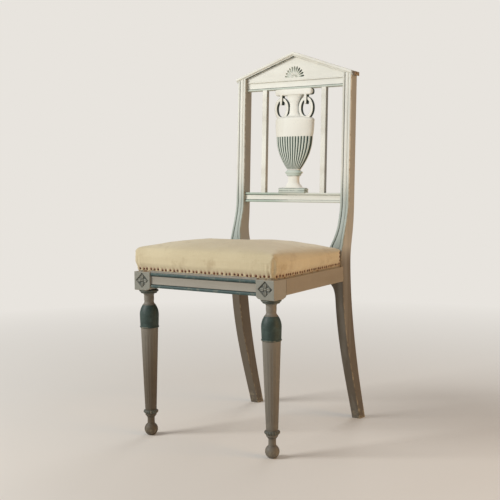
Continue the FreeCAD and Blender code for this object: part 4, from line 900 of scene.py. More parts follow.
# %% Loft the rear legs
APEX = 359.7
EAVES = 300.3
HALF_SPAN = HALF_BACK + 5.6
RAKE = (APEX - EAVES) / HALF_SPAN
CORNICE_THICK = 9.6
CORNICE_DROP = CORNICE_THICK / math.cos(math.atan(RAKE))
POST_BEAD = 6.4
POST_CREST = 1.9
BEAD_POINTS = 11
QUIRK_POINTS = slice(11, 13)
FRONT_ROUNDING = 1.5
BACK_ROUNDING = 2.0
BACK_CORNER_POINTS = 6
EDGE_WEAR_WIDTH = 3.0


def rake_under(x):
    """Underside of the raking cornice in the back's frame, at a distance from the middle."""
    return APEX - CORNICE_DROP - RAKE * np.abs(x)


def post_section(width, depth, bead, shaded_inner_quirk):
    """Slice of the post, from its inner front corner round to its inner rear corner.

    width and depth are columns, one value per row; bead is 1 where the mouldings are full. The
    quirk on the shaded side of the post keeps a green line that is painted shadow, and the other is
    shallower and left pale as painted light. A bead is half an ellipse, and a plain corner is a
    quarter circle: r - sqrt(r^2 - (r - x)^2)."""
    turn = np.linspace(0, math.pi, BEAD_POINTS)
    round_bead = np.stack([POST_BEAD / 2 * (1 - np.cos(turn)), POST_CREST * (1 - np.sin(turn))],
                          axis=1)
    quirk = np.array([[POST_BEAD + 0.2, 3.0], [POST_BEAD + 1.5, 3.0], [POST_BEAD + 1.8, 0.6]])
    field = np.array([[POST_BEAD + 3.0, 0.2], [POST_WIDTH / 2, 0.3]])
    half = np.concatenate([round_bead, quirk, field])
    shallow = half.copy()
    shallow[QUIRK_POINTS, 1] = 1.5
    inner_x = half[None, :, 0] * np.ones_like(width)
    outer_x = width - half[None, ::-1, 0][:, 1:]
    front_x = np.concatenate([inner_x, outer_x], axis=1)
    spread = np.linspace(0, 1, front_x.shape[1])[None]
    front_x = bead * front_x + (1 - bead) * spread * width
    sides = (half, shallow) if shaded_inner_quirk else (shallow, half)
    depth_half = np.concatenate([sides[0][:, 1], sides[1][::-1, 1][1:]])[None]
    corner = np.minimum(np.minimum(front_x, width - front_x), FRONT_ROUNDING)
    flat = np.sqrt(np.maximum(FRONT_ROUNDING ** 2 - (FRONT_ROUNDING - corner) ** 2, 0))
    front_d = bead * depth_half + (1 - bead) * (FRONT_ROUNDING - flat)
    back_turn = np.linspace(0, math.pi / 2, BACK_CORNER_POINTS)
    round_x = BACK_ROUNDING * (1 - np.cos(back_turn))[None]
    round_d = BACK_ROUNDING * (1 - np.sin(back_turn))[None]
    ones = np.ones_like(width)
    inset = (BACK_ROUNDING + EDGE_WEAR_WIDTH) * ones
    # Outer side, outer rear corner, back, inner rear corner and inner side, after the front.
    around = [(front_x, front_d), (width, inset), (width, depth / 2), (width, depth - inset),
              (width - round_x, depth - round_d), (width - inset, depth), (inset, depth),
              (round_x[:, ::-1] * ones, depth - round_d[:, ::-1]),
              (0 * ones, depth - inset), (0 * ones, depth / 2), (0 * ones, inset)]
    x = np.concatenate([place for place, _ in around], axis=1)
    d = np.concatenate([place for _, place in around], axis=1)
    count = front_x.shape[1]
    green = np.zeros(x.shape[1])
    # Green in one quirk only: a painted shadow line.
    green[QUIRK_POINTS] = 1.0 if shaded_inner_quirk else 0.0
    green[count - QUIRK_POINTS.stop:count - QUIRK_POINTS.start] = 0.0 if shaded_inner_quirk else 1.0
    glaze = np.zeros(x.shape[1])
    glaze[:BEAD_POINTS] = 0.6
    glaze[count - BEAD_POINTS:count] = 0.6
    edge = np.zeros(x.shape[1])
    edge[[0, 1, count - 2, count - 1]] = 0.55
    outer_corner = count + 3
    inner_corner = outer_corner + BACK_CORNER_POINTS + 2
    for corner_start in (outer_corner, inner_corner):
        edge[corner_start:corner_start + BACK_CORNER_POINTS] = 0.38
    return x, d, green * bead, glaze * bead, edge * (0.6 + 0.4 * bead)


def rear_leg(side):
    """Rows of level slices from the floor to the cornice; the last ones end on its underside.

    A slice's point lies at (x, front + depth, level), with x counted from the inner edge."""
    level = np.concatenate([np.linspace(0, SHOW_TOP - 0.1, 90),
                            np.linspace(SHOW_TOP + 0.1, 620, 90),
                            np.linspace(630, 879, 40)])[:, None]
    inner = along(inner_curve, level)
    front = along(front_curve, level)
    rear = along(rear_curve, level)
    bead = smooth_step(432, 452, level)
    x, d, green, glaze, worn = post_section(HALF_BACK - inner, rear - front, bead, side > 0)
    flank = smooth_step(2.5, 5.0, d)
    z = level + 0 * x
    x = inner + x
    top = BACK_FOOT + rake_under(x) * math.cos(LEAN) + 1.5
    z = np.minimum(z, top)
    rows = np.stack([side * x, front + d, z], axis=-1)
    foot = 1 - smooth_step(5, 60, z)
    knock = line_at(z, 118, 9) * (side > 0)
    worn = np.clip(worn + 0.30 * foot + 0.9 * knock * (worn > 0.2), 0, 1)
    # Painted shade: below the seat, and on the sides of leg and post, the dark thin paint stands
    # for shadow.
    shaded_below_seat = 1 - smooth_step(400, 520, z)
    # Painted sunlight: the wash on the beads fades out from 560 to 640 mm up, and is weaker near
    # the seat.
    glaze = glaze * (0.12 + 0.88 * (1 - smooth_step(560, 640, z))) * (1 - 0.6 * shaded_below_seat)
    # Painted shade: a cool blue-green wash on the post's front between the seat and 530 to 640 mm.
    cool_shade_wash = 0.62 * bead * (1 - smooth_step(530, 640, z)) * (1 - flank)
    masks = {"green": green, "glaze": np.maximum(glaze, cool_shade_wash),
             "thin_and_shade": np.maximum(0.95 * shaded_below_seat, 0.60 * flank),
             "grime": 0.5 * green + 0.35 * foot, "worn": worn}
    return rows, masks


for label, side in (("left", -1), ("right", 1)):
    rows, masks = rear_leg(side)
    finish_piece(add_loft("rear_leg_shaped_" + label, rows, masks, sharp=50),
                 ["rear_leg_" + label], sunlit_post_paint)

# %% [markdown]
# ## Pediment
# Two raking cornices meet over the middle. Each is a small moulding with a fillet on top and an
# ogee under it, carried up the slope and cut plumb at the apex and at the eaves. A plumb cut needs
# no trimming here, because every row of the loft is a plumb slice from the start.

# %% Raking cornices
CORNICE_OVERHANG = 1.2


def cornice_section():
    """Outline (depth, height above the underside): ogee and fillet at the front, flat elsewhere."""
    front, back, thick = -CORNICE_OVERHANG, POST_DEPTH + CORNICE_OVERHANG, CORNICE_DROP
    ogee = bulged([(front + 3.6, 0.0, 0.16), (front + 1.6, 3.2, -0.16), (front, 5.6),
                   (front, thick - 0.5), (front + 0.5, thick)], 6)
    rear = np.array([[back - 0.5, thick], [back, thick - 0.5], [back, 0.5], [back - 0.5, 0.0]])
    return np.concatenate([ogee, rear])


def raking_cornice(side):
    """Plumb slices along X, each lowered by the rake times x; the one at the eaves is chamfered."""
    section = cornice_section()
    x = np.array([HALF_SPAN, HALF_SPAN - 0.8] + np.linspace(170, 4, 30).tolist() + [0.0])[:, None]
    trim = np.where(x > HALF_SPAN - 0.4, 0.6, 0.0)
    middle = CORNICE_DROP / 2
    height = middle + (section[None, :, 1] - middle) * (1 - trim / middle)
    height = height + APEX - CORNICE_DROP - RAKE * x
    depth = section[None, :, 0] + trim * np.where(section[None, :, 0] < 10, 1, -1)
    rows = in_back(side * x, depth, height)
    end = (x > HALF_SPAN - 0.9) * (side > 0) + 0 * section[None, :, 0]
    # A green and grime line along the underside's front: partly paint, partly painted shadow under
    # the overhang, so it is full on the left cornice and faint on the right.
    foot = np.where(np.arange(len(section)) == 0, 0.35 if side > 0 else 1.0, 0.0)
    return rows, {"worn": 0.9 * end, "thin_and_shade": 0.9 * end, "green": 0.6 * foot + 0 * end,
                  "grime": 0.9 * foot + 0 * end}


for label, side in (("left", -1), ("right", 1)):
    rows, masks = raking_cornice(side)
    finish_piece(add_loft("raking_cornice_" + label, rows, masks), ["cornice_" + label],
                 sunlit_upper_paint)

# %% [markdown]
# ## The carved fan
# Under the cornices stands a panel with a half round fan: rays gouged deep at their outer ends, and
# short petals inside a fine ring. The carver worked from the hub outwards with a gouge, and the
# formula does the same in polar form. The panel's grid is finest where the fan is.

# %% Panel with the fan
FAN_HUB = 3.5
FAN_RAYS, FAN_PETALS = 11, 6
RAY_DEPTH, PETAL_DEPTH, FAN_RING_DEPTH = 3.4, 1.5, 0.8
FAN_RING = 11.0
PANEL_FRONT, PANEL_BACK = 9.5, 22.5


def fan_depth(x, height):
    """Depth of the carved fan at a place on the panel, in millimetres.

    In polar form about the hub: eleven rays, each a gouge 1 - (a / w)^2 across its angle a that
    widens outwards, and six petals of the same form."""
    up = height - ARCHITRAVE_TOP - FAN_HUB
    radius = np.hypot(x, up)
    angle = np.arctan2(np.maximum(up, 0.0), x)
    phase = (angle / math.pi * FAN_RAYS) % 1.0 - 0.5
    width = radius * math.pi / FAN_RAYS
    round_end = 1 - smooth_step(27.6, 30.2, radius + 36 * phase ** 2)
    gouge = np.clip(1 - (phase * width / (0.36 * width + 0.1)) ** 2, 0, 1)
    rays = gouge * smooth_step(11.5, 14.0, radius) * round_end * smooth_step(8, 26, radius)
    small = (angle / math.pi * FAN_PETALS) % 1.0 - 0.5
    inner = smooth_step(3.0, 4.4, radius) * (1 - smooth_step(8.4, 10.2, radius))
    petals = inner * np.clip(1 - (small / 0.33) ** 2, 0, 1)
    depth = np.maximum(RAY_DEPTH * rays, PETAL_DEPTH * petals)
    depth = np.maximum(depth, FAN_RING_DEPTH * line_at(radius, FAN_RING, 0.8))
    return depth * smooth_step(-0.4, 0.6, up)


def pediment_panel():
    """Front grid from foot to rake, carved, closed by its sides and a flat back.

    The paint in the fan is darker on its right half than on its left, as painted shade."""
    across = np.unique(np.concatenate([np.linspace(-POST_INNER, POST_INNER, 60),
                                       np.linspace(-36, 36, 190)]))[:, None]
    share = np.unique(np.concatenate([np.linspace(0, 0.62, 90), np.linspace(0.62, 1, 16)]))[None]
    foot = ARCHITRAVE_TOP - 0.4
    height = foot + share * (rake_under(across) + 0.6 - foot)
    carved = fan_depth(across, height)
    front = in_back(across, PANEL_FRONT + carved, height)
    back = in_back(across, PANEL_BACK + 0 * height, height)
    rows = np.concatenate([front, back[:, ::-1]], axis=1)
    cut = np.concatenate([carved, 0 * carved], axis=1)
    # Painted shade: green, glaze and grime in the gouges grow towards the right half.
    shaded_right_half = smooth_step(-12, 16, across) + 0 * height
    shaded_right_half = np.concatenate([shaded_right_half, 0 * shaded_right_half], axis=1)
    deep = smooth_step(1.2, 2.6, cut)
    return rows, {"green": 0.8 * deep * shaded_right_half,
                  "glaze": (0.42 + 0.33 * shaded_right_half) * smooth_step(0.3, 1.2, cut),
                  "grime": (0.08 + 0.85 * shaded_right_half) * deep}


rows, masks = pediment_panel()
finish_piece(add_loft("pediment_panel_carved", rows, masks, sharp=60), ["pediment_panel"],
             sunlit_upper_paint)

# %% [markdown]
# ## Slim bars
# The two bars beside the urn are plain laths with eased edges, let into crossrail and architrave.
# They are the same rounded outline as the rear rail's, carried up the leaning back instead of
# across it. Their flanks get dark thin paint that is painted shade.

# %% Bars
BAR_WIDTH, BAR_DEPTH = 14.5, 11.0
BAR_PLACE = 90.0
BAR_MIDDLE = 12.5
outline = with_rims(rounded_rectangle(BAR_WIDTH, BAR_DEPTH, 1.4), 2.0)
height = np.linspace(-0.5, BACK_OPENING + 0.5, 30)[:, None]
for label, side in (("left", -1), ("right", 1)):
    rows = in_back(side * BAR_PLACE + outline[None, :, 0], BAR_MIDDLE + outline[None, :, 1], height)
    masks = board_masks(outline, 0.10)
    # Painted shade: dark thin paint on the flanks.
    masks["thin_and_shade"] = 0.5 * (np.abs(outline[:, 0]) > BAR_WIDTH / 2 - 0.65)
    finish_piece(add_loft("back_bar_lath_" + label, rows, masks),
                 ["back_bar_" + label], sunlit_upper_paint)

# %% [markdown]
# ## The urn
# The splat is a carved urn in half relief: plinth, foot, collar, reeded body, plain band, neck and
# lip, with a ring hanging on each side. The body is a stack of level slices. A slice is flat behind
# and a half ellipse in front. In the lower body thirteen reeds stand side by side, so the slice's
# front gets thirteen small arches, and the hollows between them are painted green. Sculpting could
# give the same form, but a formula keeps the reeds even.

# %% Urn outline
URN_WIDEST = 57.0
URN_BACK = 20.0
URN_SEAM = 12.6
REEDS = 13
REED_FOOT, REED_TOP = 59.0, 145.0
REED_DEPTH = 2.6
URN_LOW = [
    (42.7, 0.0), (42.7, 3.4), (41.4, 4.2), (41.4, 5.2), (42.7, 6.0), (42.7, 10.0), (41.0, 11.4),
    (37.0, 13.2, -0.20), (21.5, 19.5, -0.10), (15.2, 27.5), (14.6, 34.0), (15.4, 41.6),
    (17.4, 43.0), (19.4, 44.4, 0.20), (20.6, 48.2), (23.4, 49.6, 0.42), (23.0, 54.6),
    (19.6, 57.0), (17.8, 58.6),
]
URN_BODY = [(17.8, REED_FOOT), (38.5, 83.9), (52.7, 108.9), (53.5, REED_TOP)]
URN_HIGH = [
    (53.5, REED_TOP), (55.0, 152.0, 0.015), (URN_WIDEST, 183.0, 0.22), (53.8, 190.6, 0.12),
    (42.0, 193.4, 0.04), (25.0, 197.0, -0.20), (14.6, 210.0, -0.03), (14.2, 219.0, -0.12),
    (17.6, 236.0, -0.12), (28.0, 250.2),
]


def urn_half_width():
    """The urn's edge (half width, height), with points about one millimetre apart.

    The reeded body between collar and band is one cubic curve, and the rest is corners and arcs."""
    corners = np.concatenate([bulged(URN_LOW, 14), bezier(URN_BODY), bulged(URN_HIGH, 14)])
    edge = filled(corners, 1.0)
    edge[:, 1] = np.maximum.accumulate(edge[:, 1])
    return edge


print("height of the urn below its lip:", round(float(urn_half_width()[-1, 1]), 1), "mm")

# %% [markdown]
# ## Relief and reeds
# Across a slice, u runs from -1 at the left edge to 1 at the right one, so the relief and the reeds
# grow with the urn's width. The plinth is the one part with a flat front. The paint follows the
# carving: green in the hollows, a wash on the collar and the plinth, dirt along the rims.

# %% Urn body
FOOT_LINES = (4.7, 11.2)


def urn_body():
    """Level slices: depth = seam - relief sqrt(1 - u^2), and each reed is an arch sqrt(1 - f^2)."""
    edge = urn_half_width()
    half, height = edge[:, 0:1], edge[:, 1:2]
    u = np.sin(np.linspace(-math.pi / 2, math.pi / 2, 221))[None]
    swell = 3.2 + 9.8 * np.clip(half / URN_WIDEST, 0, 1)
    plinth = 1 - smooth_step(10.5, 13.0, height)
    round_front = np.sqrt(np.maximum(1 - u ** 2, 0))
    flat_front = np.clip((1 - np.abs(u)) * 14, 0, 1) ** 0.5
    swell = swell * (1 - plinth) + 9.0 * plinth
    relief = swell * (round_front * (1 - plinth) + flat_front * plinth)
    reeded = smooth_step(REED_FOOT - 0.4, REED_FOOT + 3.0, height)
    reeded = reeded * (1 - smooth_step(REED_TOP - 1.6, REED_TOP + 0.2, height))
    phase = (u + 1) / 2 * REEDS
    fraction = 2 * (phase % 1.0) - 1
    arch = 1 - np.sqrt(np.maximum(1 - (0.97 * fraction) ** 2, 0))
    groove = REED_DEPTH * arch * reeded * smooth_step(0.0, 0.1, 1 - np.abs(u))
    scale = 0.45 + 0.55 * np.clip(half / 53.0, 0, 1)
    front = in_back(half * u, URN_SEAM - relief + groove * scale, height)
    back_u = np.linspace(1, -1, 24)[None]
    eased = 1.2 * (np.abs(back_u) > 0.98)
    back = in_back(half * back_u, URN_BACK - eased + 0 * half, height)
    rows = np.concatenate([front, back], axis=1)
    pad = np.zeros((len(edge), back_u.shape[1]))
    painted = smooth_step(0.06, 0.24, arch) * reeded
    collar = smooth_step(42.6, 43.4, height) * (1 - smooth_step(57.4, 58.4, height))
    foot_lines = sum(line_at(height, level, 0.9) for level in FOOT_LINES)
    green = np.maximum(painted, 0.75 * np.clip(foot_lines, 0, 1) + 0 * u)
    shade = 0.75 + 0.25 * smooth_step(0.2, 0.9, u)
    washed = 0.80 * collar + 0.62 * (1 - smooth_step(10.4, 12.0, height))
    grime = 0.45 * smooth_step(0.35, 0.75, arch) * reeded
    grime = grime + 0.7 * (line_at(height, 58.4, 1.0) + line_at(height, 42.8, 0.9))
    grime = grime + 0.35 * line_at(height, 194, 2.0) + 0 * u
    masks = {"green": green, "glaze": 0.45 * reeded + washed * shade, "grime": grime}
    return rows, {mask: np.concatenate([values, pad], axis=1) for mask, values in masks.items()}


rows, masks = urn_body()
finish_piece(add_loft("urn_body", rows, masks, sharp=60), ["urn_splat"], sunlit_urn_paint)

# %% [markdown]
# ## Lip, rings and straps
# The lip is a heavy roll that carries the two rings. Its slices are squared circles, |cos|^p and
# |sin|^p with a small power p, and they shrink towards both ends. A ring is a rounded square
# carried round an ellipse, and a strap hooks it to the lip. A torus would be round where the real
# rings are flat, so they have their own path.

# %% Lip, rings and straps
LIP_HALF_HEIGHT, LIP_HALF_DEPTH = 8.3, 8.4
LIP_ROLL = 7.5
LIP_SQUARENESS = 0.36
RING_PLACE = 37.0
RING_MIDDLE = 216.5
RING_WIDE, RING_TALL = 17.7, 24.7
STRAP_FOOT, STRAP_TOP = 226.5, 251.5


def urn_lip():
    """A slab along X with rolled ends: its height falls off as a quarter ellipse near each end."""
    x = URN_WIDEST * np.sin(np.linspace(-math.pi / 2, math.pi / 2, 61))[:, None]
    from_end = np.clip((URN_WIDEST - np.abs(x)) / LIP_ROLL, 0, 1)
    roll = np.sqrt(from_end * (2 - from_end))
    turn = np.linspace(0, 2 * math.pi, 40, endpoint=False)[None]
    across = np.sign(np.cos(turn)) * np.abs(np.cos(turn)) ** LIP_SQUARENESS
    upward = np.sign(np.sin(turn)) * np.abs(np.sin(turn)) ** LIP_SQUARENESS
    height = BACK_OPENING - LIP_HALF_HEIGHT + LIP_HALF_HEIGHT * roll * upward
    depth = 12.4 + LIP_HALF_DEPTH * (0.35 + 0.65 * roll) * across
    rows = in_back(x, depth, height)
    side_face = smooth_step(48.5, 50.5, np.abs(x)) * (across > -0.6) + 0 * height
    return rows, {"green": 0.9 * side_face, "grime": 0.5 * side_face}


def ring_handle(side):
    """An oval ring: a rounded square section carried round an ellipse, green inside and outside.

    At angle a of the ellipse (w cos a, t sin a) the way outwards is (cos a / w, sin a / t)."""
    angle = np.linspace(0, 2 * math.pi, 96, endpoint=False)[:, None]
    section = rounded_rectangle(8.6, 10.0, 1.8, 5)
    outward_x = np.cos(angle) / RING_WIDE
    outward_z = np.sin(angle) / RING_TALL
    size = np.hypot(outward_x, outward_z)
    x = side * RING_PLACE + RING_WIDE * np.cos(angle) + section[None, :, 0] * outward_x / size
    z = RING_MIDDLE + RING_TALL * np.sin(angle) + section[None, :, 0] * outward_z / size
    rows = in_back(x, URN_SEAM + section[None, :, 1] + 0 * x, z)
    flank = (np.abs(section[:, 0]) > 2.2) & (section[:, 1] > -4.6)
    return rows, {"green": 1.0 * flank, "grime": 0.6 * flank}


def ring_strap(side):
    """The strap that hooks each ring to the lip: its width falls by a share cubed to its foot."""
    height = np.linspace(STRAP_TOP, STRAP_FOOT, 16)[:, None]
    share = (STRAP_TOP - height) / (STRAP_TOP - STRAP_FOOT)
    section = rounded_rectangle(8.0, 14.0, 1.8, 4)
    x = side * RING_PLACE + section[None, :, 0] * (1 - 0.22 * share ** 3)
    rows = in_back(x, 11.4 + section[None, :, 1], height)
    flank = (np.abs(section[:, 0]) > 2.6) & (section[:, 1] > -6.4)
    return rows, {"green": 1.0 * flank, "grime": 0.4 * flank}


rows, masks = urn_lip()
finish_piece(add_loft("urn_lip", rows, masks, sharp=60), [], sunlit_urn_paint)
for label, side in (("left", -1), ("right", 1)):
    rows, masks = ring_handle(side)
    finish_piece(add_loft("urn_ring_" + label, rows, masks, closed=True, sharp=60), [],
                 sunlit_urn_paint)
    rows, masks = ring_strap(side)
    finish_piece(add_loft("urn_strap_" + label, rows, masks, sharp=60), [],
                 sunlit_urn_paint)

# %% [markdown]
# ## A plain weave
# The seat is closed with unbleached muslin, and jute webbing and hessian carry it from below. All
# three are plain weaves: one thread over, one under. The height of such a cloth is the product of
# two sine waves, one per thread direction, made a little uneven. It follows the piece's own UV map,
# which holds real lengths, so that the threads run over the edge as they do on cloth.

# %% Weave as a node group
weave_group, entry, way_out = new_group("plain_weave", [
    ("UV", "NodeSocketVector", None), ("Threads", "NodeSocketFloat", 900.0)],
    [("Height", "NodeSocketFloat", None), ("Slub", "NodeSocketFloat", None)])
tree = weave_group
split = tree.nodes.new("ShaderNodeSeparateXYZ")
connect(tree, entry.outputs["UV"], split.inputs[0])
wobble = noise(tree, entry.outputs["UV"], 60.0, 2.0)
waves_out = []
for axis in (0, 1):
    turned = times(tree, split.outputs[axis], entry.outputs["Threads"])
    turned = plus(tree, turned, times(tree, wobble, 6.0))
    waves_out.append(math_node(tree, "SINE", times(tree, turned, 2 * math.pi)))
over = times(tree, waves_out[0], waves_out[1])
connect(tree, plus(tree, times(tree, over, 0.25), 0.5), way_out.inputs["Height"])
slub_u = noise(tree, stretched(tree, entry.outputs["UV"], (1.0, 0.04, 1.0)), 900.0, 3.0, 0.6)
slub_v = noise(tree, stretched(tree, entry.outputs["UV"], (0.04, 1.0, 1.0)), 900.0, 3.0, 0.6)
connect(tree, times(tree, plus(tree, slub_u, slub_v), 0.5), way_out.inputs["Slub"])
print("nodes in the weave group:", len(tree.nodes))

# %% [markdown]
# ## Muslin, webbing and hessian
# Old cotton shows slubs, faint clouds, and stains where damp has crept. Round every tack the iron
# has rusted into the cloth: the seat's own worn mask marks those places, and its grime mask marks
# the dirty hem. The three cloths share one recipe and differ in colour and in threads per metre.

# %% Cloths
SLUB_LIGHT = srgb(226, 214, 180)
RUST_STAIN = srgb(138, 84, 46)


def cloth(name, base, shade, stain, threads, bump):
    """Woven cloth: threads and slubs from the UV map, faint clouds and stains over the piece."""
    material, tree, shader = surface(name, sheen=0.25)
    shader.inputs["Sheen Roughness"].default_value = 0.6
    coordinates = tree.nodes.new("ShaderNodeTexCoord")
    place = coordinates.outputs["Object"]
    group = tree.nodes.new("ShaderNodeGroup")
    group.node_tree = weave_group
    connect(tree, coordinates.outputs["UV"], group.inputs["UV"])
    group.inputs["Threads"].default_value = threads
    cloud = noise(tree, place, 7.0, 4.0)
    patch = noise(tree, place, 22.0, 5.0, 0.6)
    fleck = noise(tree, place, 140.0, 3.0, 0.6)
    colour = mix_colour(tree, ramp(tree, cloud, 0.35, 0.68), base, shade)
    slub = ramp(tree, group.outputs["Slub"], 0.42, 0.62)
    colour = mix_colour(tree, times(tree, slub, 0.25), colour, SLUB_LIGHT)
    spots = times(tree, ramp(tree, patch, 0.57, 0.71), 0.42)
    colour = mix_colour(tree, spots, colour, stain)
    dots = times(tree, ramp(tree, fleck, 0.70, 0.78), 0.35)
    colour = mix_colour(tree, dots, colour, stain)
    soil = times(tree, read_mask(tree, "grime"), ramp(tree, patch, 0.3, 0.6), clamp=True)
    colour = mix_colour(tree, soil, colour, stain)
    rusty = times(tree, read_mask(tree, "worn"), ramp(tree, patch, 0.25, 0.5), clamp=True)
    colour = mix_colour(tree, times(tree, rusty, 0.8), colour, RUST_STAIN)
    connect(tree, colour, shader.inputs["Base Color"])
    shader.inputs["Roughness"].default_value = 0.9
    height = plus(tree, times(tree, group.outputs["Height"], 0.5), group.outputs["Slub"])
    add_bump(tree, shader, height, bump, 0.0004)
    return material


muslin = cloth("muslin", srgb(206, 192, 157), srgb(190, 174, 138), srgb(156, 130, 90), 700.0, 0.5)
jute = cloth("jute_webbing", srgb(168, 140, 98), srgb(146, 120, 82), srgb(110, 86, 56), 300.0, 0.8)
hessian_cloth = cloth("hessian_cloth", srgb(150, 122, 82), srgb(132, 104, 68), srgb(98, 76, 48),
                      350.0, 0.9)
print("cloths:", muslin.name, jute.name, hessian_cloth.name)

# %% [markdown]
# ## The stuffed seat
# The seat is stuffed with hair, and its muslin is drawn tight and tacked to the rails. The tacks
# come first, because the cloth takes its form from them: it pulls in at every tack and stands out
# between them. They were set by eye, so each place is an even one moved by a small amount.

# %% Tack places
SEAT_FOOT = 403.5
SEAT_CORNER = 12.0
CLOTH_STANDS = 1.5
COVER_OUT = REBATE - CLOTH_STANDS
REAR_FACE = REAR_RAIL_Y + REAR_RAIL_THICK / 2 + CLOTH_STANDS
TACK_LEVEL = SEAT_FOOT + 4.0
TACK_SPACING = 11.6


def uneven(index, size):
    """Two slow waves that never line up: a hand's unevenness, the same every time."""
    return size * (0.6 * np.sin(2.4 * index) + 0.4 * np.sin(5.7 * index + 1))


def side_x(y, inset=0.0):
    """X of the seat's right side: straight along the block, then splayed inwards."""
    return HALF_FRONT - inset - SPLAY * np.maximum(0.0, y - BLOCK_BACK)


def front_tacks():
    """Tacks between the two round corners: evenly spaced places plus a little unevenness."""
    reach = HALF_FRONT - REBATE - SEAT_CORNER
    count = int(2 * reach / TACK_SPACING)
    index = np.arange(count + 1)
    x = np.clip(-reach + 2 * reach * index / count + uneven(index, 2.2), -reach, reach)
    z = TACK_LEVEL + uneven(index + 40, 1.1)
    return np.stack([x, np.full(len(x), FRONT_Y + COVER_OUT), z], axis=1)


def side_tacks(side):
    """Tacks along a side, none on the joint of block and rail, and three more up the rear leg."""
    low, high = FRONT_Y + REBATE + SEAT_CORNER, FLARE_Y - 9
    count = int((high - low) / TACK_SPACING)
    index = np.arange(count + 1)
    y = low + (high - low) * index / count + uneven(index + 7, 1.6)
    y = np.where(np.abs(y - BLOCK_BACK) < 5, BLOCK_BACK + 5, np.minimum(y, high))
    z = TACK_LEVEL + uneven(index + 60, 1.1)
    y = np.concatenate([y, np.full(3, FLARE_Y - 6)])
    z = np.concatenate([z, TACK_LEVEL + np.arange(1, 4) * 9.0])
    return np.stack([side * side_x(y, COVER_OUT), y, z], axis=1)


def rear_tacks():
    """Tacks along the back, set wider because nobody sees them."""
    reach = SEAT_INNER - 10
    count = int(2 * reach / (1.4 * TACK_SPACING))
    index = np.arange(count + 1)
    x = -reach + 2 * reach * index / count
    return np.stack([x, np.full(len(x), REAR_FACE), TACK_LEVEL + uneven(index + 20, 1.1)], axis=1)


tack_rows = {"front": front_tacks(), "right": side_tacks(1), "left": side_tacks(-1),
             "rear": rear_tacks()}
print("tacks:", {name: len(spots) for name, spots in tack_rows.items()})

# %% [markdown]
# ## Outline and crown
# In plan the seat is a rounded, splayed shape with a notch round each rear leg. Its top is a low
# crown that falls towards the back and shows the lumps of old stuffing. A cushion is often made by
# blowing up a sheet with a cloth simulation. Here the cloth is drawn tight over firm stuffing and
# hardly moves, so its height is a formula of the distance from the nearest edge.

# %% Outline and crown of the seat
AROUND = 760
SIDE_TOP = 437.0
CROWN = 32.0
FALL = 16.0
BULGE = 4.6
CORNER_RISE, CORNER_SPREAD = 1.2, 17.0
TIGHT_BLEND, LOOSE_BLEND = 2.4, 26.0
# Lumps of the stuffing: x, y, spread and height of each.
LUMPS = [(-5.0, 90.0, 80.0, 5.5), (130.0, 120.0, 45.0, -2.5), (-150.0, 40.0, 70.0, -2.0)]


def seat_outline(count):
    """Outer edge of the skirt and its length, counterclockwise from the middle of the front.

    The points are set evenly by the length along the edge, about two millimetres apart."""
    front, rear, corner = FRONT_Y + COVER_OUT, REAR_FACE, SEAT_CORNER
    turn = np.linspace(0, math.pi / 2, 14)
    notch = SEAT_INNER - 1.0
    stop = FLARE_Y - 1.0
    half = side_x(front + corner, COVER_OUT)
    y = np.linspace(front + corner, stop, 140)
    # Front, round corner, side, notch of the rear leg in two parts, and back.
    stretches = [
        (np.linspace(0, half - corner, 90), np.full(90, front)),
        (half - corner + corner * np.sin(turn), front + corner - corner * np.cos(turn)),
        (side_x(y, COVER_OUT), y),
        (np.linspace(side_x(stop, COVER_OUT), notch, 16), np.full(16, stop)),
        (np.full(16, notch), np.linspace(stop, rear, 16)),
        (np.linspace(notch, 0, 50), np.full(50, rear)),
    ]
    right = np.concatenate([np.stack(stretch, axis=1) for stretch in stretches])
    left = right[::-1] * np.array([-1, 1])
    ring = np.concatenate([right, left, right[:1]])
    reach = np.concatenate([[0], np.cumsum(np.linalg.norm(np.diff(ring, axis=0), axis=1))])
    even = np.linspace(0, reach[-1], count, endpoint=False)
    outline = np.stack([np.interp(even, reach, ring[:, axis]) for axis in (0, 1)], axis=1)
    return outline, reach[-1]


def crown_height(x, y):
    """Height of the seat above its shoulder, by the distance e from the nearest edge.

    The rise is 0.12 ln(1 + e) + 0.02 ln(1 + e)^2 of the crown: steep at the edge, level inside.
    The three distances are blended by a soft minimum, -s ln(sum of exp(-d / s)), tight at the edge
    and loose inside, so that no ridge runs in from the corners. The crown falls to the back."""
    front = FRONT_Y + COVER_OUT - BULGE
    from_side = side_x(y, COVER_OUT - BULGE) - np.abs(x)
    blended = []
    for soft in (TIGHT_BLEND, LOOSE_BLEND):
        closeness = sum(np.exp(-gap / soft) for gap in (from_side, y - front, REAR_FACE - y))
        blended.append(-soft * np.log(closeness))
    inside = smooth_step(3.0, 50.0, blended[0])
    edge = np.clip(blended[0] * (1 - inside) + blended[1] * inside, 0.0, 110.0)
    depth = np.log1p(edge)
    rise = 0.12 * depth + 0.02 * depth ** 2
    tip = smooth_step(-4.0, 9.0, edge) - 0.2 * (1 - smooth_step(0, 3, edge))
    along_seat = np.clip((y - front - edge) / (REAR_FACE - front - 2 * edge), 0, 1)
    corner = line_at(from_side, 0, CORNER_SPREAD) * line_at(y, front, CORNER_SPREAD)
    uneven_stuffing = sum(high * line_at(np.hypot(x - lump_x, y - lump_y), 0, spread)
                          for lump_x, lump_y, spread, high in LUMPS)
    level = SIDE_TOP + CROWN * rise + FALL * tip * (0.5 - along_seat) + CORNER_RISE * corner
    return level + smooth_step(2, 30, edge) * uneven_stuffing


print("girth of the seat:", round(float(seat_outline(AROUND)[1])), "mm")

# %% [markdown]
# ## The cloth from hem to crown
# From the tacked edge the cloth rises almost upright, bulges a little, rolls over a soft shoulder
# and crosses the crown. One grid describes it: one parameter goes round the outline, the other from
# under the stuffing over the hem and the shoulder to the middle. Small pleats pull in at every
# tack, and the two front corners are folded.

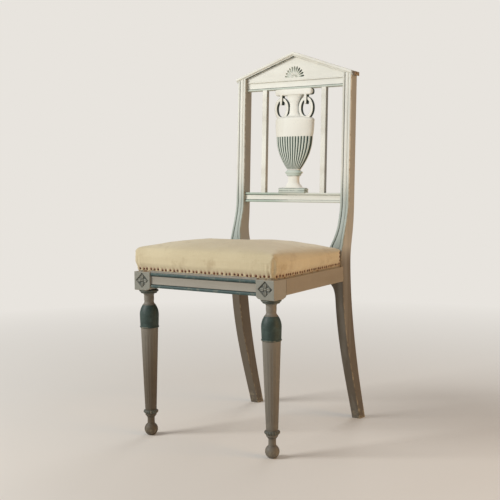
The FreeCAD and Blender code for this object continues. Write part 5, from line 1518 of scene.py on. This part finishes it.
# %% The seat's surface
STUFFING_FOOT = 428.3
SKIRT_THICK = 2.6
SEAT_MIDDLE = (0.0, -40.0)
PLEAT, DIP, CORNER_FOLD = 1.5, 0.9, 1.7
FOLD_PITCH, FOLD_SPREAD = 9.5, 16.0


def seat_surface():
    """Rows from under the stuffing, down inside the frame, up the tacked skirt and over the crown.

    Up the skirt a share s runs from 0 at the hem to 1 at the shoulder. The cloth stands out by the
    bulge, a smooth step of s. Pleats fade as exp(-(s / 0.3)^2), folds swell as sin(pi s)^0.6."""
    outline, girth = seat_outline(AROUND)
    centre = np.array(SEAT_MIDDLE)
    around = np.arange(AROUND) / AROUND * girth
    tacks = np.concatenate(list(tack_rows.values()))
    gap = np.linalg.norm(outline[:, None, :] - tacks[None, :, :2], axis=2)
    between = np.clip(np.min(gap, axis=1) / (TACK_SPACING / 2), 0, 1)
    run = np.roll(outline, -3, axis=0) - np.roll(outline, 3, axis=0)
    way = np.stack([run[:, 1], -run[:, 0]], axis=1) / np.linalg.norm(run, axis=1, keepdims=True)
    free = 1 - smooth_step(FLARE_Y - 26, FLARE_Y - 4, outline[:, 1])
    shoulder = crown_height(*(outline + way * BULGE * free[:, None]).T)
    hem = SEAT_FOOT + 0.9 * uneven(around / 9.0, 1.0) + 0.7 * between
    inner_wall = outline - SKIRT_THICK * way
    rows = []
    for share in (0.001, 0.4, 0.8, 1.0):
        rows.append(np.column_stack([centre + (inner_wall - centre) * share,
                                     np.full(AROUND, STUFFING_FOOT)]))
    for level in (0.6, 0.2, 0.0):
        rows.append(np.column_stack([inner_wall, hem + level * (STUFFING_FOOT - hem)]))
    folds = waves(around, around * 0, 26.0, 3) * smooth_step(120, 190, np.abs(outline[:, 0]))
    near_tip = line_at(np.abs(outline[:, 0]), HALF_FRONT - REBATE, FOLD_SPREAD)
    near_tip = near_tip * line_at(outline[:, 1], FRONT_Y + REBATE, FOLD_SPREAD)
    folds = folds + CORNER_FOLD * near_tip * np.sin(2 * math.pi * around / FOLD_PITCH)
    for share in np.linspace(0, 1, 30):
        z = hem + share * (shoulder - hem)
        bulge = (BULGE + 0.6) * smooth_step(0.12, 0.55, share) * free - 0.6
        pleat = PLEAT * (between - 0.55) * line_at(share, 0, 0.30)
        dip = -DIP * (1 - between) * line_at(z, TACK_LEVEL, 3.0)
        crease = folds * free * np.sin(math.pi * share) ** 0.6
        rows.append(np.column_stack([outline + way * (bulge + pleat + dip + crease)[:, None], z]))
    shoulder_line = rows[-1][:, :2]
    for share in np.linspace(0, 1, 80)[1:] ** 1.6:
        place = shoulder_line * (1 - share) + centre * share
        x, y = place.T
        drawn = waves(x, y, 130.0, 5) + 0.6 * waves(x, y, 42.0, 11)
        z = crown_height(x, y) + smooth_step(0, 0.16, share) * drawn
        rows.append(np.column_stack([place, z]))
    rows = np.array(rows)
    rust = line_at(np.min(gap, axis=1), 0.5, 2.6)
    return rows, {"worn": line_at(rows[:, :, 2], TACK_LEVEL, 4.5) * rust[None],
                  "grime": 0.5 * line_at(rows[:, :, 2], SEAT_FOOT, 6.0)}


rows, masks = seat_surface()
seat = add_loft("stuffed_seat", rows, masks, sharp=80)
print("rows and columns of the seat's grid:", rows.shape[:2])

# %% [markdown]
# ## A map for the weave
# The weave needs real lengths in its UV map. Every face is laid flat along the axis that it faces
# most: the crown from above, the front and back from the front, and the sides from the side. The
# threads then run straight over each part, and the change from one to the next lies in the roll of
# the edge, where it is hard to see.

# %% Lay the cloth flat
corner_vertex = np.zeros(len(seat.data.loops), int)
seat.data.loops.foreach_get("vertex_index", corner_vertex)
face_sizes = np.zeros(len(seat.data.polygons), int)
seat.data.polygons.foreach_get("loop_total", face_sizes)
corner_face = np.repeat(np.arange(len(face_sizes)), face_sizes)
positions = np.zeros(len(seat.data.vertices) * 3)
seat.data.vertices.foreach_get("co", positions)
positions = positions.reshape(-1, 3)
normals = np.zeros(len(seat.data.polygons) * 3)
seat.data.polygons.foreach_get("normal", normals)
facing = np.abs(normals.reshape(-1, 3))[corner_face]
corners = positions[corner_vertex]
upward = facing[:, 2] > 0.6
sideways = facing[:, 0] > facing[:, 1]
flat_u = np.where(upward | ~sideways, corners[:, 0], corners[:, 1])
flat_v = np.where(upward, corners[:, 1], corners[:, 2])
cloth_map = seat.data.uv_layers.new(name="cloth")
cloth_map.data.foreach_set("uv", np.stack([flat_u, flat_v], axis=1).reshape(-1))
finish_piece(seat, ["seat_cover", "seat_stuffing"], muslin)

# %% [markdown]
# ## Tacks
# Each tack is a low, hand-struck dome of rusty iron. One dome is worked out as rings of a flattened
# sphere and set at every place along the tacked edge, turned to face outwards. A row of tacks is
# one mesh, because a hundred small objects would be slow to handle. The heads differ a little in
# size, as hand work does.

# %% Rusty tacks
TACK_RADIUS, TACK_UNEVEN = 2.45, 0.25
TACK_HEIGHT, TACK_SUNK = 1.0, 0.9
TACK_RINGS, TACK_SIDES = 4, 12
rust, tree, shader = surface("rusty_iron", metallic=0.35)
place = tree.nodes.new("ShaderNodeTexCoord").outputs["Object"]
patch = noise(tree, place, 420.0, 4.0)
colour = mix_colour(tree, ramp(tree, patch, 0.35, 0.65), srgb(72, 42, 26), srgb(128, 74, 40))
connect(tree, colour, shader.inputs["Base Color"])
connect(tree, ramp(tree, patch, 0.1, 1.4), shader.inputs["Roughness"])
add_bump(tree, shader, patch, 0.5, 0.0003)


def tack_heads(name, spots, way):
    """A row of domes that face one way: the ring at angle t has radius r cos t and height h sin t.

    A dome's points are its back in the cloth, then ring by ring, then its top."""
    number = np.arange(len(spots))
    radius = TACK_RADIUS + TACK_UNEVEN * np.sin(3.1 * number)
    tilt = np.linspace(0, math.pi / 2, TACK_RINGS + 1)[:-1, None, None]
    turn = np.linspace(0, 2 * math.pi, TACK_SIDES, endpoint=False)[:, None]
    across = np.cross([0, 0, 1.0], way)
    upward = np.cross(way, across)
    ring = np.cos(tilt) * (np.cos(turn) * across + np.sin(turn) * upward)
    height = TACK_HEIGHT * np.sin(tilt) * way + 0 * ring
    domes = spots[:, None, None] + radius[:, None, None, None] * ring + height
    domes = domes.reshape(len(spots), -1, 3)
    points = np.concatenate([(spots - TACK_SUNK * way)[:, None], domes,
                             (spots + TACK_HEIGHT * way)[:, None]], axis=1)
    here = np.arange(TACK_SIDES)
    after = (here + 1) % TACK_SIDES
    low = 1 + TACK_SIDES * np.arange(TACK_RINGS)[:, None]
    back = np.stack([0 * here, 1 + after, 1 + here], axis=1)
    top = np.stack([low[-1] + here, low[-1] + after, 0 * here + points.shape[1] - 1], axis=1)
    bands = np.stack([low[:-1] + here, low[:-1] + after, low[1:] + after, low[1:] + here], axis=-1)
    start = points.shape[1] * number[:, None, None]
    triangles = (start + np.concatenate([back, top])).reshape(-1, 3).tolist()
    quads = (start + bands.reshape(-1, 4)).reshape(-1, 4).tolist()
    return add_piece(name, points.reshape(-1, 3), triangles + quads, sharp=60)


across_splay, along_splay = math.cos(math.atan(SPLAY)), math.sin(math.atan(SPLAY))
outwards = {"front": (0, -1.0, 0), "rear": (0, 1.0, 0), "right": (across_splay, along_splay, 0),
            "left": (-across_splay, along_splay, 0)}
for name, spots in tack_rows.items():
    heads = tack_heads("tack_heads_" + name, spots, np.array(outwards[name]))
    finish_piece(heads, ["cover_tacks_" + name], rust)

# %% [markdown]
# ## Under the seat
# Corner blocks, screws, webbing and hessian keep their CAD shapes, because they are plain boards
# and strips. They only get their own finishes: bare pine, old steel, jute and hessian. Pine shows
# its year rings as long lines, which a noise gives when it is squeezed along the grain.

# %% Finishes under the seat


def bare_wood(name, light, shaded_right_half):
    """Pine: a noise squeezed along X, so that its clouds become lines, between two browns."""
    material, tree, shader = surface(name)
    place = tree.nodes.new("ShaderNodeTexCoord").outputs["Object"]
    lines = noise(tree, stretched(tree, place, (0.08, 1.0, 1.0)), 140.0, 5.0, 0.6)
    colour = mix_colour(tree, ramp(tree, lines, 0.35, 0.65), light, shaded_right_half)
    connect(tree, colour, shader.inputs["Base Color"])
    shader.inputs["Roughness"].default_value = 0.7
    add_bump(tree, shader, lines, 0.4, 0.0004)
    return material


pine = bare_wood("bare_pine", srgb(176, 140, 92), srgb(128, 94, 56))
steel, tree, shader = surface("old_steel", metallic=0.9)
place = tree.nodes.new("ShaderNodeTexCoord").outputs["Object"]
patch = noise(tree, place, 300.0, 4.0)
colour = mix_colour(tree, patch, srgb(120, 112, 104), srgb(86, 62, 44))
connect(tree, colour, shader.inputs["Base Color"])
shader.inputs["Roughness"].default_value = 0.5
plain_nodes = {
    "corner_block_front_left": pine, "corner_block_front_right": pine,
    "corner_block_rear_left": pine, "corner_block_rear_right": pine,
    "corner_block_screws": steel, "hessian": hessian_cloth,
    "webbing_left": jute, "webbing_middle": jute, "webbing_right": jute,
    "webbing_cross_front": jute, "webbing_cross_middle": jute, "webbing_cross_rear": jute,
}
for node, material in plain_nodes.items():
    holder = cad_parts[node]
    if holder.material_slots:
        for place_slot in holder.material_slots:
            place_slot.material = material
    else:
        holder.data.materials.append(material)
print("CAD nodes with a new finish:", len(plain_nodes))

# %% [markdown]
# ## Studio
# A large pale floor carries the chair's shadow and fades into the background, so that no edge shows
# behind it. The fade is an even glow that only the camera sees, so it puts no more light on the
# chair. The world works the same way: an even bluish light for the chair, a plain pale colour for
# the camera.

# %% Floor and world
BACKDROP = srgb(232, 228, 222)
FLOOR_RADIUS = 14.0
FLOOR_SIDES = 64
FADE_FROM, FADE_TO = 0.6, 2.4
floor_mesh = bpy.data.meshes.new("floor")
angle = np.linspace(0, 2 * math.pi, FLOOR_SIDES, endpoint=False)
rim = np.stack([FLOOR_RADIUS * np.cos(angle), FLOOR_RADIUS * np.sin(angle), 0 * angle], axis=1)
floor_mesh.from_pydata(rim.tolist(), [], [list(range(FLOOR_SIDES))])
floor = bpy.data.objects.new("floor", floor_mesh)
bpy.context.scene.collection.objects.link(floor)
floor_material, tree, shader = surface("studio_floor")
shader.inputs["Roughness"].default_value = 0.75
shader.inputs["Base Color"].default_value = srgb(224, 219, 211)
glow = tree.nodes.new("ShaderNodeEmission")
glow.inputs["Color"].default_value = BACKDROP
fade = tree.nodes.new("ShaderNodeMixShader")
coordinates = tree.nodes.new("ShaderNodeTexCoord").outputs["Object"]
distance = tree.nodes.new("ShaderNodeVectorMath")
distance.operation = "LENGTH"
connect(tree, coordinates, distance.inputs[0])
light_path = tree.nodes.new("ShaderNodeLightPath")
far = times(tree, ramp(tree, distance.outputs["Value"], FADE_FROM, FADE_TO),
            light_path.outputs["Is Camera Ray"])
connect(tree, far, fade.inputs[0])
connect(tree, shader.outputs["BSDF"], fade.inputs[1])
connect(tree, glow.outputs["Emission"], fade.inputs[2])
output = next(node for node in tree.nodes if node.type == "OUTPUT_MATERIAL")
connect(tree, fade.outputs[0], output.inputs["Surface"])
floor_mesh.materials.append(floor_material)

world = bpy.data.worlds.new("studio")
bpy.context.scene.world = world
world.use_nodes = True
tree = world.node_tree
tree.nodes.clear()
even = tree.nodes.new("ShaderNodeBackground")
even.inputs["Color"].default_value = (0.95, 0.97, 1.0, 1.0)
even.inputs["Strength"].default_value = 0.33
seen = tree.nodes.new("ShaderNodeBackground")
seen.inputs["Color"].default_value = BACKDROP
chooser = tree.nodes.new("ShaderNodeMixShader")
light_path = tree.nodes.new("ShaderNodeLightPath")
sky = tree.nodes.new("ShaderNodeOutputWorld")
connect(tree, light_path.outputs["Is Camera Ray"], chooser.inputs[0])
connect(tree, even.outputs[0], chooser.inputs[1])
connect(tree, seen.outputs[0], chooser.inputs[2])
connect(tree, chooser.outputs[0], sky.inputs["Surface"])
print("the floor fades from", FADE_FROM, "to", FADE_TO, "m from the middle")

# %% [markdown]
# ## Lamps
# A broad soft lamp stands to the front left and gives the form its light and shade. A weaker warm
# one fills the right side with golden light, and a third lifts the back edges. A large lamp gives
# soft shadows, and a small one would give hard ones.

# %% Lamps
LAMP_TARGET = (0.0, 0.0, 0.5)


def stand(thing, right, up, back, place):
    """Set a thing at a place, with its own X, Y and Z along the three ways."""
    turn = Matrix([list(row) for row in np.stack([right, up, back], axis=1)]).to_4x4()
    turn.translation = place
    thing.matrix_world = turn


def soft_lamp(name, place, size, power, colour):
    """A square lamp whose -Z looks at the chair: its Z is the unit way from the chair to it."""
    lamp = bpy.data.lights.new(name, "AREA")
    lamp.shape = "SQUARE"
    lamp.size = size
    lamp.energy = power
    lamp.color = colour
    holder = bpy.data.objects.new(name, lamp)
    bpy.context.scene.collection.objects.link(holder)
    back = np.array(place) - np.array(LAMP_TARGET)
    back /= np.linalg.norm(back)
    right = np.cross([0, 0, 1.0], back)
    right /= np.linalg.norm(right)
    stand(holder, right, np.cross(back, right), back, place)


soft_lamp("front_light", (-2.0, -2.5, 2.1), 1.5, 98.0, (1.0, 0.99, 0.97))
soft_lamp("warm_fill", (2.8, 0.3, 0.9), 1.6, 31.0, (1.0, 0.57, 0.20))
soft_lamp("rear_light", (-0.6, 2.8, 2.2), 1.6, 20.0, (1.0, 1.0, 1.0))
print("lamps:", [lamp.name for lamp in bpy.data.lights])

# %% [markdown]
# ## Camera
# The camera stands where the photograph was taken from, as far as the chair's straight edges tell
# it. Three turns set it: round the chair, down towards the seat, and a small roll about its own
# view. A long lens keeps the upright edges nearly parallel.

# %% Camera
CAMERA_PLACE = (1.38893, -1.99496, 0.63926)
CAMERA_TURN, CAMERA_PITCH, CAMERA_ROLL = 35.33, 4.623, -0.514
CAMERA_LENS, CAMERA_SENSOR = 71.22, 36.0
azimuth, pitch, roll = (math.radians(value) for value in (CAMERA_TURN, CAMERA_PITCH, CAMERA_ROLL))
back = np.array([math.sin(azimuth) * math.cos(pitch), -math.cos(azimuth) * math.cos(pitch),
                 math.sin(pitch)])
right = np.array([math.cos(azimuth), math.sin(azimuth), 0.0])
up = np.cross(back, right)
lens = bpy.data.cameras.new("camera")
lens.sensor_width = CAMERA_SENSOR
lens.lens = CAMERA_LENS
camera = bpy.data.objects.new("camera", lens)
bpy.context.scene.collection.objects.link(camera)
stand(camera, math.cos(roll) * right + math.sin(roll) * up,
      -math.sin(roll) * right + math.cos(roll) * up, back, CAMERA_PLACE)
bpy.context.scene.camera = camera
bpy.context.scene.view_settings.view_transform = "Standard"
print("the camera stands", round(float(np.linalg.norm(CAMERA_PLACE)), 2), "m from the middle")
